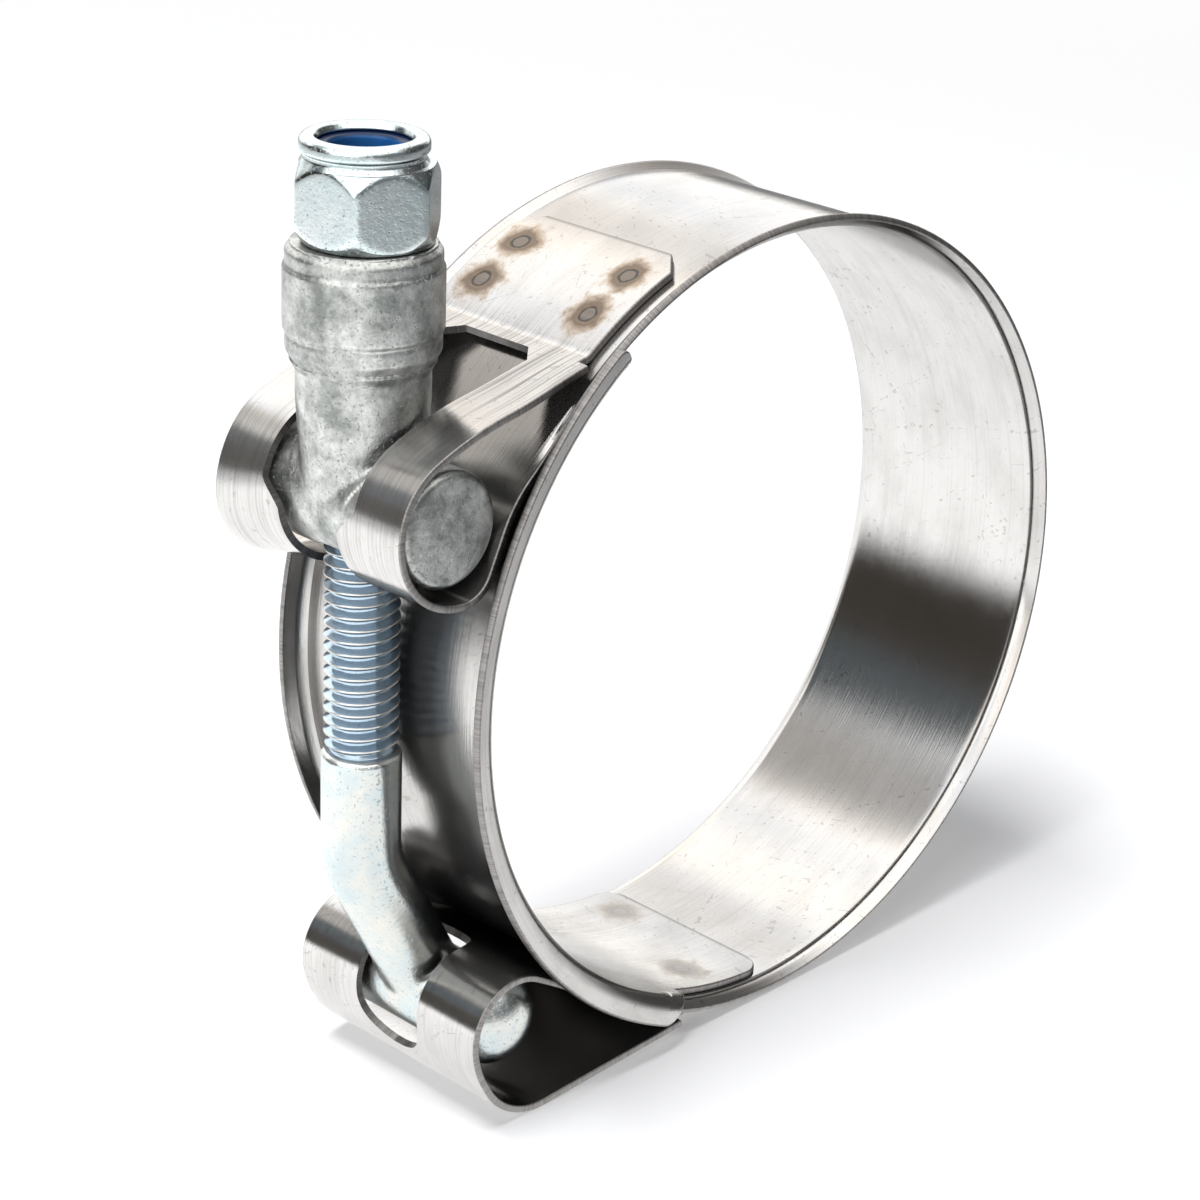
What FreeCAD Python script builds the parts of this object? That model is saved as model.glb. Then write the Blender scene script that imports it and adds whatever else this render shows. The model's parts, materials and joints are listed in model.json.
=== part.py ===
import FreeCAD, Part
import math
import os

# T-bolt band clamp for a 65 mm hose, in millimetres with +Z up.
# The origin is the centre of the clamped bore, the Y axis is the hose axis,
# and the bolt stands on the -X side.

V = FreeCAD.Vector
ORIGIN = V(0, 0, 0)
HOSE_AXIS = V(0, 1, 0)

# Bridge: the thin channel-shaped liner that closes the gap under the bolt.
bore_r = 32.25
bridge_t = 0.6
bridge_top_angle = 123.9
bridge_bottom_angle = 249.9
bridge_tab_end_angle = 269.7
bridge_tab_margin = 0.2
bridge_tab_corner_r = 2.0
flange_bend_height = 0.9
flange_bend_angle = 55.0
flange_rim_height = 1.35
flange_rim_angle = 74.0
flange_corner_r = 0.9
flange_lower_slant = 4.0
flange_clearance = 0.475

# Band: one strip folded into a ring with a loop at each end.
strip_t = 0.6
band_half = 10.65
rolled_edge_width = 0.95
rolled_edge_height = 0.75
tab_margin = 0.4
tab_corner = 2.6
bend_r = 1.5

# Upper loop, which carries the trunnion.
upper_tab_end_angle = 106.4
upper_bend_angle = 126.5
upper_leg_slope = 9.3
upper_step_run = 0.9
upper_loop_r = 6.04
upper_loop_standoff = 5.7
upper_loop_angle = 152.53
upper_shoulder_r = 30.0
upper_corner_r = 3.0
inner_leg_angle = 154.0
inner_leg_standoff = 1.45
inner_leg_fillet_r = 10.0
ring_leave_angle = 130.0

# Lower loop, which carries the head of the bolt.
lower_tab_end_angle = 277.5
lower_bend_angle = 257.4
lower_leg_slope = 2.9
lower_step_run = 3.6
lower_loop_r = 4.43
lower_loop_standoff = 6.43
lower_loop_angle = 221.43
lower_side_r = 8.0
lower_side_bulge = 0.33
lower_side_angle = 207.4
lower_corner_r = 6.4

# Trunnion: a cast cross pin with an upright barrel that the bolt runs through.
pin_r = 4.6
pin_inset = 0.6
pin_end_chamfer = 0.4
pin_side_shift = -0.89
bolt_lean = 2.31
barrel_foot_r = 4.6
barrel_r = 5.05
barrel_foot_height = 8.0
barrel_height = 10.1
collar_taper = 1.6
collar_r = 5.98
collar_height = 19.7
collar_chamfer = 0.55
label_band_start = 13.2
label_band_end = 18.0
label_band_proud = 0.09
trunnion_bore_clearance = 0.3

# Bolt: rolled thread, plain shank, one bend and a cross head.
thread_r = 2.95
thread_pitch = 1.0
thread_end_clearance = 1.2
thread_start_depth = 20.7
thread_end_chamfer = 0.5
shank_r = 3.15
shank_bend_r = 7.0
leg_lean = 26.3
head_r = 3.7
head_inset = 0.6
head_dome = 1.5
head_edge_chamfer = 0.3

# Nut with a rolled collar that holds a locking ring.
nut_across_flats = 9.85
nut_turn = 39.7
nut_seat_gap = 0.1
nut_hex_height = 5.8
nut_corner_chamfer = 1.1
nut_thread_clearance = 0.1
nut_groove_r = 4.4
nut_groove_height = 0.85
nut_collar_r = 4.75
nut_collar_height = 1.15
nut_collar_chamfer = 0.35
nut_mouth_r = 3.3
ring_seat_r = 4.0
ring_hole_r = 2.44
ring_bottom_height = 5.5
ring_top_height = 7.15

# Slots in the loops.
barrel_clearance = 0.25
slot_far_run = 1.0
slot_end_clip = 1.7
slot_kink_rise = 1.55
slot_kink_drop = 0.5
bolt_slot_clearance = 0.45
lower_slot_clearance = 0.55
lower_slot_end_drop = 4.4
cut_margin = 3.0
touch = 0.01

# Sizes that follow from the ones above.
band_inner_r = bore_r + bridge_t
ring_r = band_inner_r + strip_t / 2
tab_r = ring_r + strip_t
band_flat_half = band_half - rolled_edge_width
tab_half = band_flat_half - tab_margin
bridge_tab_half = band_flat_half - bridge_tab_margin
flange_spread = rolled_edge_height / math.tan(math.radians(flange_bend_angle))
bridge_base_half = band_half + flange_clearance - flange_spread
pin_half_length = band_half - pin_inset
head_half_length = band_half - head_inset
nut_seat = collar_height + nut_seat_gap
thread_end_height = nut_seat + ring_bottom_height - thread_end_clearance
thread_clear_r = thread_r + nut_thread_clearance
trunnion_bore_r = thread_r + trunnion_bore_clearance
wide_slot_half = barrel_r + barrel_clearance
bolt_slot_half = thread_r + bolt_slot_clearance
lower_slot_half = shank_r + lower_slot_clearance


def polar(angle, radius, centre=ORIGIN):
    """Point of the XZ plane at an angle in degrees, from +X towards +Z."""
    a = math.radians(angle)
    return centre + V(radius * math.cos(a), 0, radius * math.sin(a))


def along(point, angle):
    """How far a point reaches in the direction of an angle."""
    return point.dot(polar(angle, 1))


class Run:
    """A straight stretch of the strip's middle line."""

    def __init__(self, start, end):
        self.start = start
        self.end = end

    def edge(self, shift):
        """The stretch moved to its left by shift."""
        direction = (self.end - self.start).normalize()
        side = V(-direction.z, 0, direction.x) * shift
        return Part.LineSegment(self.start + side, self.end + side).toShape()


class Bend:
    """A round stretch of the strip's middle line."""

    def __init__(self, centre, radius, start, end):
        self.centre = centre
        self.radius = radius
        self.angles = (start, end)
        self.start = polar(start, radius, centre)
        self.end = polar(end, radius, centre)

    def edge(self, shift):
        """The stretch moved to its left by shift."""
        start, end = self.angles
        radius = self.radius - shift if end > start else self.radius + shift
        middle = (start + end) / 2
        points = [polar(a, radius, self.centre) for a in (start, middle, end)]
        return Part.Arc(*points).toShape()


def folded_strip(runs, half_width):
    """A strip of the band's thickness folded along the runs."""
    left = [run.edge(strip_t / 2) for run in runs]
    right = [run.edge(-strip_t / 2) for run in runs]
    caps = []
    for end in (0, -1):
        a = left[end].Vertexes[end].Point
        b = right[end].Vertexes[end].Point
        caps.append(Part.LineSegment(a, b).toShape())
    edges = Part.__sortEdges__(left + right + caps)
    face = Part.Face(Part.Wire(edges))
    face.translate(V(0, -half_width, 0))
    return face.extrude(V(0, 2 * half_width, 0))


def prism(corners, y_low, y_high):
    """A block whose outline in the XZ plane is given by its corners."""
    points = [V(p.x, y_low, p.z) for p in corners]
    face = Part.Face(Part.makePolygon(points + [points[0]]))
    return face.extrude(V(0, y_high - y_low, 0))


def turned(shape, angle):
    """A shape made at the top of the ring, moved round it to an angle."""
    moved = shape.copy()
    moved.rotate(ORIGIN, HOSE_AXIS, 90 - angle)
    return moved


def ring_section(line, thickness, angle):
    """Wire of a bent sheet across the ring, at an angle.

    line lists (y, r) from one edge to the other, and the sheet's
    thickness goes outwards where it is positive.
    """
    normals = []
    for (y0, r0), (y1, r1) in zip(line, line[1:]):
        length = math.hypot(y1 - y0, r1 - r0)
        normals.append((-(r1 - r0) / length, (y1 - y0) / length))
    back = []
    for i, (y, r) in enumerate(line):
        before = normals[max(i - 1, 0)]
        after = normals[min(i, len(normals) - 1)]
        share = 1 + before[0] * after[0] + before[1] * after[1]
        dy = (before[0] + after[0]) / share
        dr = (before[1] + after[1]) / share
        back.append((y + thickness * dy, r + thickness * dr))
    points = [polar(angle, r) + V(0, y, 0) for y, r in line + back[::-1]]
    return Part.makePolygon(points + [points[0]])


def swept(section, sweep):
    """A section turned about the hose axis through a polar angle."""
    return Part.Face(section).revolve(ORIGIN, V(0, -1, 0), sweep)


def band_line(radius, rise):
    """Bore side of the band's section, with rolled edges of a given rise."""
    right = [(band_flat_half, radius), (band_half, radius + rise)]
    left = [(-y, r) for y, r in right[::-1]]
    return left + right


def leg_meets_ring(normal, meet_angle, side):
    """Angle, seen from the ring's centre, of the bend that joins leg and tab."""
    reach = tab_r * math.cos(math.radians(meet_angle - normal))
    cosine = (reach + bend_r) / (tab_r + bend_r)
    return normal + side * math.degrees(math.acos(cosine)), reach


def run_out(angle, end_point, end_normal):
    """Straight leg along which the rolled edges flatten out."""
    start = ring_section(band_line(band_inner_r, rolled_edge_height), strip_t, angle)
    flat = ring_section(band_line(band_inner_r, 0), strip_t, end_normal)
    flat.translate(end_point - polar(end_normal, ring_r))
    return Part.makeLoft([start, flat], True, True)


def tab_corners(half_width, corner, end_angle, side):
    """Wedges that clip the two corners of a tab's end."""
    e = cut_margin
    wedges = []
    for s in (1, -1):
        corners = [(e, half_width + e), (-corner - e, half_width + e), (e, half_width - corner - e)]
        points = [V(side * x, s * y, tab_r - e) for x, y in corners]
        face = Part.Face(Part.makePolygon(points + [points[0]]))
        wedges.append(turned(face.extrude(V(0, 0, 2 * e)), end_angle))
    return wedges


def side_trims(corners):
    """Blocks that narrow the strip to the tab's width within an outline."""
    reach = band_half + cut_margin
    return [prism(corners, tab_half, reach), prism(corners, -reach, -tab_half)]


# Upper loop, from the tab's end round the trunnion to the ring.
leg_normal = upper_leg_slope + 90
upper_beta, leg_reach = leg_meets_ring(leg_normal, upper_bend_angle, 1)
loop_u = polar(upper_loop_angle, ring_r + upper_loop_standoff)
shoulder_gap = leg_reach - along(loop_u, leg_normal)
shoulder_turn = math.degrees(math.acos(
    (upper_shoulder_r - shoulder_gap) / (upper_shoulder_r - upper_loop_r)))
shoulder_angle = leg_normal + shoulder_turn
shoulder_c = polar(shoulder_angle + 180, upper_shoulder_r - upper_loop_r, loop_u)
inner_leg_reach = ring_r + inner_leg_standoff
corner_offset = upper_loop_r - upper_corner_r
corner_cosine = (inner_leg_reach + upper_corner_r - along(loop_u, inner_leg_angle)) / corner_offset
corner_angle = inner_leg_angle + math.degrees(math.acos(corner_cosine))
corner_c = polar(corner_angle, corner_offset, loop_u)
leg_turn = inner_leg_angle - ring_leave_angle
fillet_reach = inner_leg_reach - inner_leg_fillet_r
tangent_reach = ring_r - inner_leg_fillet_r
fillet_swing = math.degrees(math.atan2(
    fillet_reach - tangent_reach * math.cos(math.radians(leg_turn)),
    tangent_reach * math.sin(math.radians(leg_turn))))
fillet_c = polar(ring_leave_angle + fillet_swing,
                 tangent_reach / math.cos(math.radians(fillet_swing)))

upper_tab = Bend(ORIGIN, tab_r, upper_tab_end_angle, upper_beta)
upper_bend = Bend(polar(upper_beta, tab_r + bend_r), bend_r, upper_beta + 180, leg_normal + 180)
shoulder = Bend(shoulder_c, upper_shoulder_r, leg_normal, shoulder_angle)
upper_round = Bend(loop_u, upper_loop_r, shoulder_angle, corner_angle)
upper_corner = Bend(corner_c, upper_corner_r, corner_angle, inner_leg_angle + 180)
upper_fillet = Bend(fillet_c, inner_leg_fillet_r, inner_leg_angle, ring_leave_angle)
upper_runs = [
    upper_tab,
    upper_bend,
    Run(upper_bend.end, shoulder.start),
    shoulder,
    upper_round,
    upper_corner,
    Run(upper_corner.end, upper_fillet.start),
    upper_fillet,
]

# Lower loop, from the ring round the bolt's head to the tab's end.
loop_t = polar(lower_loop_angle, ring_r + lower_loop_standoff)
cross_angle = math.degrees(math.acos((ring_r + lower_loop_r) / loop_t.Length))
lower_leave_angle = lower_loop_angle + cross_angle
lower_start_angle = lower_leave_angle - 180
side_gap = lower_loop_r + lower_side_bulge
side_turn = math.degrees(math.acos((lower_side_r - side_gap) / (lower_side_r - lower_loop_r)))
side_start = lower_side_angle - side_turn
side_c = polar(side_start + 180, lower_side_r - lower_loop_r, loop_t)
floor_normal = lower_leg_slope + 270
lower_beta, floor_reach = leg_meets_ring(floor_normal, lower_bend_angle, -1)
side_reach = along(loop_t, lower_side_angle) + side_gap - lower_corner_r
base_reach = floor_reach - lower_corner_r
corner_turn = math.radians(floor_normal - lower_side_angle)
corner_swing = math.degrees(math.atan2(
    base_reach - side_reach * math.cos(corner_turn),
    side_reach * math.sin(corner_turn)))
base_c = polar(lower_side_angle + corner_swing,
               side_reach / math.cos(math.radians(corner_swing)))

lower_round = Bend(loop_t, lower_loop_r, lower_start_angle, side_start)
lower_side = Bend(side_c, lower_side_r, side_start, lower_side_angle)
lower_corner = Bend(base_c, lower_corner_r, lower_side_angle, floor_normal)
lower_bend = Bend(polar(lower_beta, tab_r + bend_r), bend_r, floor_normal - 180, lower_beta - 180)
lower_tab = Bend(ORIGIN, tab_r, lower_beta, lower_tab_end_angle)
lower_runs = [
    lower_round,
    lower_side,
    Run(lower_side.end, lower_corner.start),
    lower_corner,
    Run(lower_corner.end, lower_bend.start),
    lower_bend,
    lower_tab,
]

# The bolt's axis runs through the pin's centre and leans a little.
pin_c = loop_u + V(pin_side_shift, 0, 0)
axis_up = polar(90 - bolt_lean, 1)
head_c = loop_t


def on_axis(height):
    """Point of the bolt's axis at a height above the pin's centre."""
    return pin_c + axis_up * height


def make_band():
    """Ring, both loops, their slots and the two welded tabs."""
    ring_sweep = lower_leave_angle - 360 - ring_leave_angle
    ring_line = band_line(band_inner_r, rolled_edge_height)
    ring = swept(ring_section(ring_line, strip_t, ring_leave_angle), ring_sweep)
    upper_leg = run_out(ring_leave_angle, upper_fillet.end, ring_leave_angle)
    lower_leg = run_out(lower_leave_angle, lower_round.start, lower_leave_angle)

    upper = folded_strip(upper_runs, band_half)
    step = upper_bend.end + polar(upper_leg_slope + 180, upper_step_run)
    right = polar(upper_leg_slope, bore_r)
    up = polar(leg_normal, bore_r)
    upper = upper.cut(side_trims([step - up, step - up + right, step + up + right, step + up]))
    upper = upper.cut(tab_corners(tab_half, tab_corner, upper_tab_end_angle, 1))
    upper = upper.cut(upper_slots())

    lower = folded_strip(lower_runs, band_half)
    step = lower_bend.start + polar(lower_leg_slope + 180, lower_step_run)
    right = polar(lower_leg_slope, bore_r)
    down = polar(floor_normal, cut_margin)
    lower = lower.cut(side_trims([step + down, step + down + right, step - down + right, step - down]))
    lower = lower.cut(tab_corners(tab_half, tab_corner, lower_tab_end_angle, -1))
    lower = lower.cut(lower_slot())
    return ring.fuse([upper_leg, lower_leg, upper, lower]).removeSplitter()


def upper_slots():
    """Wide slot for the barrel over the loop, narrowing to the bolt's slot."""
    half_wide = wide_slot_half
    end = upper_bend.end - polar(upper_leg_slope, slot_far_run)
    lift = polar(leg_normal, cut_margin)
    drop = polar(leg_normal, strip_t)
    left = loop_u + V(-upper_loop_r - cut_margin, 0, 0)
    high = V(0, 0, upper_loop_r + cut_margin)
    kink_top = V(0, 0, slot_kink_rise)
    kink_low = V(0, 0, -slot_kink_drop)
    side_view = [pin_c + kink_top, end - drop, end + lift, left + high, left + kink_top]
    wide = prism(side_view, -half_wide, half_wide)
    end_half = half_wide - slot_end_clip
    clip_x = end.x - slot_end_clip
    top_view = [V(left.x, -half_wide, 0), V(clip_x, -half_wide, 0), V(end.x, -end_half, 0),
                V(end.x, end_half, 0), V(clip_x, half_wide, 0), V(left.x, half_wide, 0)]
    plan = Part.Face(Part.makePolygon(top_view + [top_view[0]]))
    wide = wide.common(plan.extrude(V(0, 0, bore_r + upper_loop_r)))

    half_slim = bolt_slot_half
    top = [pin_c + kink_top + V(0, y, 0) for y in (-half_wide, half_wide)]
    low = [pin_c + kink_low + V(0, y, 0) for y in (half_slim, -half_slim)]
    trapezoid = Part.Face(Part.makePolygon(top + low + [top[0]]))
    kink = trapezoid.extrude(V(left.x - pin_c.x, 0, 0))

    deep = upper_loop_r + cut_margin
    slim_top = loop_u.z - slot_kink_drop
    slim = prism([V(left.x, 0, slim_top), V(left.x, 0, loop_u.z - deep),
                  on_axis(-deep), on_axis(slim_top - pin_c.z)], -half_slim, half_slim)
    hole = Part.makeCylinder(half_slim, deep, on_axis(-deep), axis_up)
    return [wide, kink, slim, hole]


def lower_slot():
    """Slot for the shank over the top and down the outer side of the loop."""
    half = lower_slot_half
    leg_up = polar(90 + leg_lean, 1)
    deep = lower_loop_r + cut_margin
    hole = Part.makeCylinder(half, deep, head_c, leg_up)
    left = head_c.x - lower_loop_r - cut_margin
    end_z = head_c.z - lower_slot_end_drop + half
    outline = [head_c, head_c + leg_up * deep, V(left, 0, head_c.z + deep), V(left, 0, end_z),
               V(head_c.x, 0, end_z)]
    flank = prism(outline, -half, half)
    foot = Part.makeCylinder(half, head_c.x - left, V(left, 0, end_z), V(1, 0, 0))
    return [hole, flank, foot]


def make_bridge():
    """Channel under the gap, with leaning flanges and one welded tab."""
    outer_r = band_inner_r
    bend = math.radians(flange_bend_angle)
    rim = math.radians(flange_rim_angle)
    crease = (bridge_base_half + flange_bend_height / math.tan(bend), outer_r + flange_bend_height)
    tip = (crease[0] + flange_rim_height / math.tan(rim), crease[1] + flange_rim_height)
    right = [(bridge_base_half, outer_r), crease, tip]
    line = [(-y, r) for y, r in right[::-1]] + right
    sweep = bridge_bottom_angle - bridge_top_angle
    channel = swept(ring_section(line, -bridge_t, bridge_top_angle), sweep)

    rims = [e for e in channel.Edges if abs(e.Length - bridge_t) < touch
            and abs(along(e.CenterOfMass, bridge_top_angle + 90)) < touch
            and along(e.CenterOfMass, bridge_top_angle) > crease[1] + flange_rim_height / 2]
    channel = channel.makeFillet(flange_corner_r, rims)

    slant = [polar(bridge_bottom_angle, outer_r), polar(bridge_bottom_angle + flange_lower_slant, outer_r),
             polar(bridge_bottom_angle + flange_lower_slant, tip[1] + cut_margin),
             polar(bridge_bottom_angle - flange_lower_slant, tip[1] + cut_margin)]
    far = tip[0] + cut_margin
    channel = channel.cut([prism(slant, band_half, far), prism(slant, -far, -band_half)])

    tab_line = [(-bridge_tab_half, outer_r), (bridge_tab_half, outer_r)]
    tab_sweep = bridge_tab_end_angle - bridge_bottom_angle
    tab = swept(ring_section(tab_line, -bridge_t, bridge_bottom_angle), tab_sweep)
    corners = [e for e in tab.Edges if abs(e.Length - bridge_t) < touch
               and abs(along(e.CenterOfMass, bridge_tab_end_angle + 90)) < touch]
    tab = tab.makeFillet(bridge_tab_corner_r, corners)
    return channel.fuse(tab).removeSplitter()


def tilted(shape):
    """A shape made upright about the origin, set on the bolt's axis."""
    moved = shape.copy()
    moved.rotate(ORIGIN, HOSE_AXIS, bolt_lean)
    moved.translate(pin_c)
    return moved


def spun(profile):
    """Solid of revolution from (r, z) points about the upright axis."""
    points = [V(r, 0, z) for r, z in profile]
    face = Part.Face(Part.makePolygon(points + [points[0]]))
    return face.revolve(ORIGIN, V(0, 0, 1), 360)


def make_trunnion():
    """Round cross pin, barrel and collar, bored for the bolt."""
    pin = Part.makeCylinder(pin_r, 2 * pin_half_length, V(0, -pin_half_length, 0), HOSE_AXIS)
    rims = [e for e in pin.Edges if abs(abs(e.CenterOfMass.y) - pin_half_length) < touch]
    pin = pin.makeChamfer(pin_end_chamfer, rims)
    collar_start = barrel_height + collar_taper
    label_r = collar_r + label_band_proud
    body = spun([
        (0, 0), (barrel_foot_r, 0), (barrel_r, barrel_foot_height), (barrel_r, barrel_height),
        (collar_r, collar_start), (collar_r, label_band_start), (label_r, label_band_start),
        (label_r, label_band_end), (collar_r, label_band_end),
        (collar_r, collar_height - collar_chamfer), (collar_r - collar_chamfer, collar_height),
        (0, collar_height),
    ])
    bore = Part.makeCylinder(trunnion_bore_r, 2 * collar_height, V(0, 0, -collar_height))
    return tilted(pin.fuse(body).cut(bore))


def make_t_bolt():
    """Threaded shank, bent leg and cross head."""
    leg_up = polar(90 + leg_lean, 1)
    turn = leg_lean + bolt_lean
    across = head_c - pin_c
    depth = -(across.x * leg_up.z - across.z * leg_up.x) / (axis_up.x * leg_up.z - axis_up.z * leg_up.x)
    elbow = on_axis(-depth)
    tangent = shank_bend_r * math.tan(math.radians(turn / 2))
    bend_top = elbow + axis_up * tangent
    bend_low = elbow - leg_up * tangent
    thread_low = on_axis(-thread_start_depth)
    thread = Part.makeCylinder(thread_r, thread_end_height + thread_start_depth, thread_low, axis_up)
    top = on_axis(thread_end_height)
    tip = [e for e in thread.Edges if e.CenterOfMass.distanceToPoint(top) < touch]
    thread = thread.makeChamfer(thread_end_chamfer, tip)
    shank = Part.makeCylinder(shank_r, (thread_low - bend_top).Length, bend_top, axis_up)
    centre = bend_top + V(axis_up.z, 0, -axis_up.x) * shank_bend_r
    circle = Part.Face(Part.Wire([Part.Circle(bend_top, axis_up, shank_r).toShape()]))
    bend = circle.revolve(centre, V(0, -1, 0), turn)
    leg = Part.makeCylinder(shank_r, (head_c - bend_low).Length, bend_low, leg_up * -1)
    return thread.fuse([shank, bend, leg, make_head()]).removeSplitter()


def make_head():
    """Cross head: a round bar along the hose axis with domed ends."""
    rim_y = head_half_length - head_dome
    rim_r = head_r - head_edge_chamfer
    cap_r = (rim_r ** 2 + head_dome ** 2) / (2 * head_dome)
    half_angle = math.asin(rim_r / cap_r) / 2
    rim = V(rim_r, rim_y, 0)
    tip = V(0, head_half_length, 0)
    middle = tip + V(cap_r * math.sin(half_angle), -cap_r * (1 - math.cos(half_angle)), 0)
    cap = Part.Arc(rim, middle, tip).toShape()
    sides = Part.makePolygon([tip, ORIGIN, V(head_r, 0, 0), V(head_r, rim_y - head_edge_chamfer, 0), rim])
    profile = Part.Face(Part.Wire(Part.__sortEdges__([cap] + sides.Edges)))
    half = profile.revolve(ORIGIN, HOSE_AXIS, 360)
    head = half.fuse(half.mirror(ORIGIN, HOSE_AXIS)).removeSplitter()
    head.translate(head_c)
    return head


def make_nut():
    """Hexagon, groove and the collar rolled over the locking ring."""
    flat_r = nut_across_flats / 2
    corner_r = flat_r / math.cos(math.pi / 6)
    points = []
    for k in range(7):
        angle = math.radians(nut_turn + 60 * k)
        points.append(V(corner_r * math.cos(angle), corner_r * math.sin(angle), 0))
    hexagon = Part.Face(Part.makePolygon(points)).extrude(V(0, 0, nut_hex_height))
    cone_r = 2 * corner_r - flat_r
    rise = 2 * nut_corner_chamfer
    turned_hex = spun([
        (0, 0), (flat_r, 0), (cone_r, rise), (cone_r, nut_hex_height - rise),
        (flat_r, nut_hex_height), (0, nut_hex_height),
    ])
    collar_low = nut_hex_height + nut_groove_height
    collar_top = collar_low + nut_collar_height
    neck = Part.makeCylinder(nut_groove_r, nut_groove_height, V(0, 0, nut_hex_height))
    collar = Part.makeCylinder(nut_collar_r, nut_collar_height, V(0, 0, collar_low))
    rims = [e for e in collar.Edges if e.Length > 2 * math.pi * nut_groove_r]
    collar = collar.makeChamfer(nut_collar_chamfer, rims)
    bore = Part.makeCylinder(thread_clear_r, ring_bottom_height, ORIGIN)
    seat_height = ring_top_height - ring_bottom_height
    seat = Part.makeCylinder(ring_seat_r, seat_height, V(0, 0, ring_bottom_height))
    mouth = Part.makeCylinder(nut_mouth_r, collar_top, V(0, 0, ring_top_height))
    nut = hexagon.common(turned_hex).fuse([neck, collar]).cut([bore, seat, mouth])
    nut.translate(V(0, 0, nut_seat))
    return tilted(nut)


def make_locking_ring():
    """Plastic ring held in the nut's collar."""
    low = ring_bottom_height
    high = ring_top_height
    ring = spun([(ring_hole_r, low), (ring_seat_r, low), (ring_seat_r, high), (ring_hole_r, high)])
    ring.translate(V(0, 0, nut_seat))
    return tilted(ring)


os.makedirs("parts", exist_ok=True)
make_band().exportStep("parts/band.step")
make_bridge().exportStep("parts/bridge.step")
make_trunnion().exportStep("parts/trunnion.step")
make_t_bolt().exportStep("parts/t_bolt.step")
make_nut().exportStep("parts/nut.step")
make_locking_ring().exportStep("parts/locking_ring.step")
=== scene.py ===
"""Looks of the T-bolt band clamp: bright folded strip, cast trunnion, plated bolt and locking nut."""
import json
import logging
import math
from dataclasses import dataclass
from enum import Enum

import bmesh
import bpy
import numpy as np
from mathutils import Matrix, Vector


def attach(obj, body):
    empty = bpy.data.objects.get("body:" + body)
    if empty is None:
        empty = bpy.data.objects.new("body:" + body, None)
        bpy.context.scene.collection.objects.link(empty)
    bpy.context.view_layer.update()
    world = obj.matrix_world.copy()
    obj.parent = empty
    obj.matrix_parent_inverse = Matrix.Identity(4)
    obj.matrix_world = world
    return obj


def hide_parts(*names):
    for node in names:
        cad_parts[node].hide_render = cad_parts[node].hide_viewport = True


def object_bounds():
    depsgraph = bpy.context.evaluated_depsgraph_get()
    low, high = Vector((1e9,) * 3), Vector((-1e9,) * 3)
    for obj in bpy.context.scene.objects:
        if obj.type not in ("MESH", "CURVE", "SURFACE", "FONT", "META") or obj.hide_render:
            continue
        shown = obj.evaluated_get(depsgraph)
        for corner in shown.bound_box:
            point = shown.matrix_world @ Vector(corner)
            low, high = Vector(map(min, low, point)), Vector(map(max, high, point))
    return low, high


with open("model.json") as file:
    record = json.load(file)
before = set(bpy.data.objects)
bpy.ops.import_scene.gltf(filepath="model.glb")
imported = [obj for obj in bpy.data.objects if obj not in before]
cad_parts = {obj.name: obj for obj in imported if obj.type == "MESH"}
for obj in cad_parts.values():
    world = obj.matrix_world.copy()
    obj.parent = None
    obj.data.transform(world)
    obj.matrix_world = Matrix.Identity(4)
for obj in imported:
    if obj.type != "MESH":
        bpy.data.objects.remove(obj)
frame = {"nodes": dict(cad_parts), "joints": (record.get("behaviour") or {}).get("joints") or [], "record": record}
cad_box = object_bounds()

LOG = logging.getLogger("clamp")
MM = 0.001
STATION_STEP = 0.42
MAP_SCALE = 0.01
TINY = 1e-6
Socket = bpy.types.NodeSocket
Value = Socket | float | tuple


class Body(Enum):
    """The bodies that the pieces ride on."""

    BAND = "clamp_band"
    TRUNNION = "trunnion_block"
    BOLT = "bolt"
    NUT = "lock_nut"


def polar(angle: float, radius: float, centre: tuple = (0.0, 0.0)) -> np.ndarray:
    """Point of the XZ plane at an angle in degrees from +X towards +Z.

    Args:
        angle: degrees.
        radius: distance from the centre in millimetres.
        centre: the centre's x and z.

    Returns:
        The point's x and z.
    """
    a = math.radians(angle)
    return np.array([centre[0] + radius * math.cos(a), centre[1] + radius * math.sin(a)])


def along(point: np.ndarray, angle: float) -> float:
    """How far a point of the XZ plane reaches in the direction of an angle."""
    return float(point @ polar(angle, 1.0))


def smoothstep(x: np.ndarray) -> np.ndarray:
    """The cubic 3x^2 - 2x^3 of x held between 0 and 1."""
    t = np.clip(x, 0.0, 1.0)
    return t * t * (3.0 - 2.0 * t)


def window(x: np.ndarray, first: float, last: float, rise: float, fall: float) -> np.ndarray:
    """A smooth step up over the width rise from first, times one down over the width fall to last."""
    return smoothstep((x - first) / rise) * smoothstep((last - x) / fall)


def turned_rows(r: np.ndarray, z: np.ndarray, a: np.ndarray) -> np.ndarray:
    """Points (r cos a, r sin a, z) as (row, column, xyz)."""
    r, z, a = np.broadcast_arrays(r, z, a)
    return np.stack([r * np.cos(a), r * np.sin(a), z], axis=2)


def wrapped_quads(rows: int, columns: int, closed: bool = False) -> np.ndarray:
    """Quads of a grid of vertices that wraps round its columns.

    Args:
        rows: number of rows.
        columns: number of columns.
        closed: whether the last row is joined to the first.

    Returns:
        Rows of four vertex indices.
    """
    index = np.arange(rows * columns).reshape(rows, columns)
    if closed:
        index = np.concatenate([index, index[:1]])
    after = np.roll(index, -1, axis=1)
    return np.stack([index[:-1], after[:-1], after[1:], index[1:]], axis=-1).reshape(-1, 4)


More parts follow.
